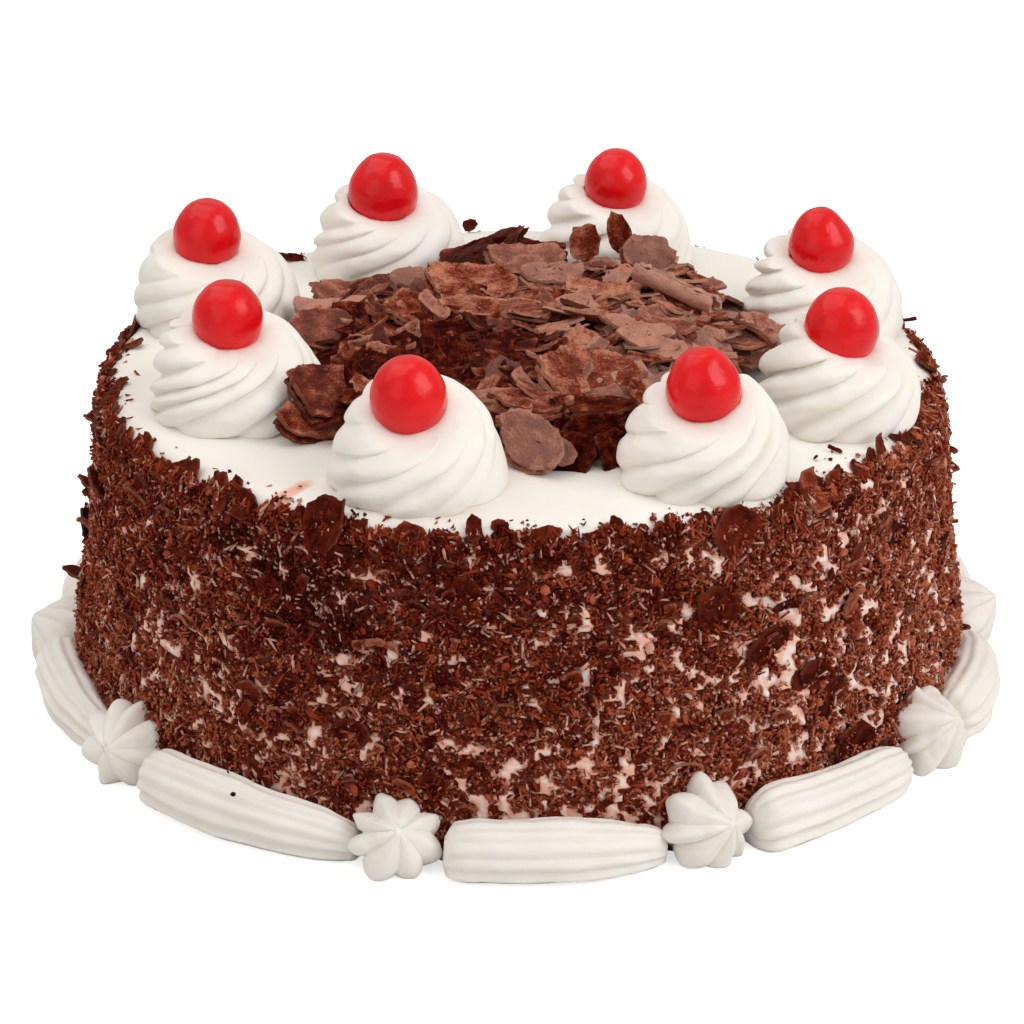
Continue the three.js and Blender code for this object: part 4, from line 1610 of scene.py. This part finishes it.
def makeHeap():
    shapes = [flakeShape(kind, 300 + n) for n, kind in enumerate(heap["broad"] + heap["thin"])]
    kinds, spots, turns, looks = [], [], [], []
    number = 0
    for count, lift, sizes, tip, tones, family in heap["layers"]:
        first = 0 if family == "broad" else len(heap["broad"])
        for i in range(count):
            number += 1
            share = math.sqrt((i + 0.5) / count)
            degrees = number * heap["spacing"]
            kind = first + int(between(number + 900, 0, len(heap[family]) - 0.001))
            size = between(number + 1300, *sizes)
            reach = heapEdge(degrees, 4.0) - 4 * size
            radius = reach * share * 0.985
            rise = heapRise(radius / (heapEdge(degrees, 0) + 3))
            slope = (heapRise((radius + 1) / (reach + 6)) - heapRise((radius - 1) / (reach + 6))) / 2
            fall = min(42, math.degrees(math.atan(-slope)))
            rise = max(rise - heapSag(degrees, share), 1.6) + lift + between(number + 1700, -0.5, 1.2)
            place = around(degrees, radius, cake["height"] + rise)
            near = min((place - Vector(row[1])).xy.length for row in namedFlakes)
            if lift > -2 and near < heap["clear"] * mix(0.5, 1, lift < 0):
                continue
            heading = between(number + 2100, 0, 360)
            lie = flakePose(heading, between(number + 2500, -tip, tip), between(number + 2900, -tip, tip))
            level = around(degrees + 90, 1, 0)  # the slope tips about this line
            lean = np.array(Matrix.Rotation(math.radians(fall), 3, level))
            kinds.append(kind)
            spots.append(place)
            turns.append(lean @ lie * size)
            tone, paintedShade = heapPaintedLight(place)
            # the bloom also grows towards the lit right and fades in the painted shade: painted light
            bloom = between(number + 3700, -1.2, 1.0) + 0.6 * place.x / 60 - 2 * paintedShade
            looks.append((tone + between(number + 3300, *tones), bloom))
    cocoaHeap = (scrapedChocolate, "flakes", "flake_heap")
    loose = layFlakes("heapFlakes", shapes, kinds, spots, turns, looks, *cocoaHeap)
    # the flakes on top are shaped more finely, and no two of a kind are alike
    shapes, kinds, spots, turns, looks = [], [], [], [], []
    for number, (kind, place, heading, pitch, roll, longer, wider, tone, bloom) in enumerate(namedFlakes):
        shapes.append(flakeShape(kind, 330 + number, fine=True))
        lie = flakePose(heading, pitch, roll)
        size = np.array((longer, wider, 1))
        # painted light: paler towards the right
        tone += 0.03 + 0.09 * place[0] / 60
        # each broad flake gets a darker leaf under it: painted shade beneath the flake
        for leaf in range(1 if kind in ("scale", "scroll", "crescent", "splinter") else 2):
            aside, back = between(number + 3900, -1, 1), between(number + 4000, -2.2, -0.6)
            shift = Vector((aside, back, -heap["leaves"])) * leaf
            askew = flakePose(leaf * between(number + 4100, -7, 7), leaf * between(number + 4200, -2, 2), 0)
            kinds.append(number)
            spots.append(Vector(place) + Matrix(lie) @ shift)
            turns.append(lie @ askew * size)
            looks.append((tone - leaf * between(number + 4300, 0, 0.3), bloom * (1 - 0.5 * leaf)))
    makeBits([loose, layFlakes("heapTopFlakes", shapes, kinds, spots, turns, looks, *cocoaHeap)])


makeHeapCore()
makeHeap()
print("heap made")

# Floor, light and camera

studio = {
    "sky": 0.485,
    "skyTint": (1.0, 0.92, 0.83),
    "floor": 0.78,
    # each lamp: watts, place and size in metres
    "softbox": (11.0, (1.08, -0.62, 1.02), 1.1),
    "fill": (1.7, (-0.75, -1.0, 0.7), 1.0),
    "overhead": (8.6, (-0.45, 0.25, 1.35), 1.6),
    "spark": (0.6, (1.7, 0.5, 1.7), 0.2),
}


def makeLamp(name):
    power, place, size = studio[name]
    light = bpy.data.lights.new(name, "AREA")
    light.size = size
    light.energy = power
    lamp = bpy.data.objects.new(name, light)
    bpy.context.scene.collection.objects.link(lamp)
    lamp.location = place
    lamp.rotation_euler = (Vector((0, 0, 0.05)) - lamp.location).to_track_quat("-Z", "Y").to_euler()


def makeStage():
    clearSelection()
    bpy.ops.mesh.primitive_plane_add(size=8)
    floor = bpy.context.object
    floor.name = "floor"
    paper, tree, shader = newFinish("paleFloor")
    setInputs(shader, Roughness=0.9, Specular_IOR_Level=0.0)
    shader.inputs["Base Color"].default_value = (studio["floor"], studio["floor"], studio["floor"], 1)
    shader.inputs["Emission Color"].default_value = (0.6, 0.6, 0.6, 1)
    seen = addNode(tree, "ShaderNodeLightPath")  # white paper to the eye, yet it throws little light back
    tree.links.new(seen.outputs["Is Camera Ray"], shader.inputs["Emission Strength"])
    floor.data.materials.append(paper)
    world = bpy.data.worlds.new("studio")
    bpy.context.scene.world = world
    world.use_nodes = True
    sky = world.node_tree.nodes["Background"]
    sky.inputs["Color"].default_value = (*studio["skyTint"], 1)
    sky.inputs["Strength"].default_value = studio["sky"]
    for name in ("softbox", "fill", "overhead", "spark"):
        makeLamp(name)


def makeCamera():
    view = {"place": (0, -0.950, 0.4585), "down": 23.713, "aside": 0.1017, "lens": 141.8}
    lens = bpy.data.cameras.new("camera")
    lens.lens = view["lens"]
    lens.sensor_width = 36
    camera = bpy.data.objects.new("camera", lens)
    bpy.context.scene.collection.objects.link(camera)
    camera.location = view["place"]
    camera.rotation_euler = (math.radians(90 - view["down"]), 0, math.radians(view["aside"]))
    bpy.context.scene.camera = camera


makeStage()
makeCamera()
bpy.context.scene.view_settings.view_transform = "Standard"
print("stage set")
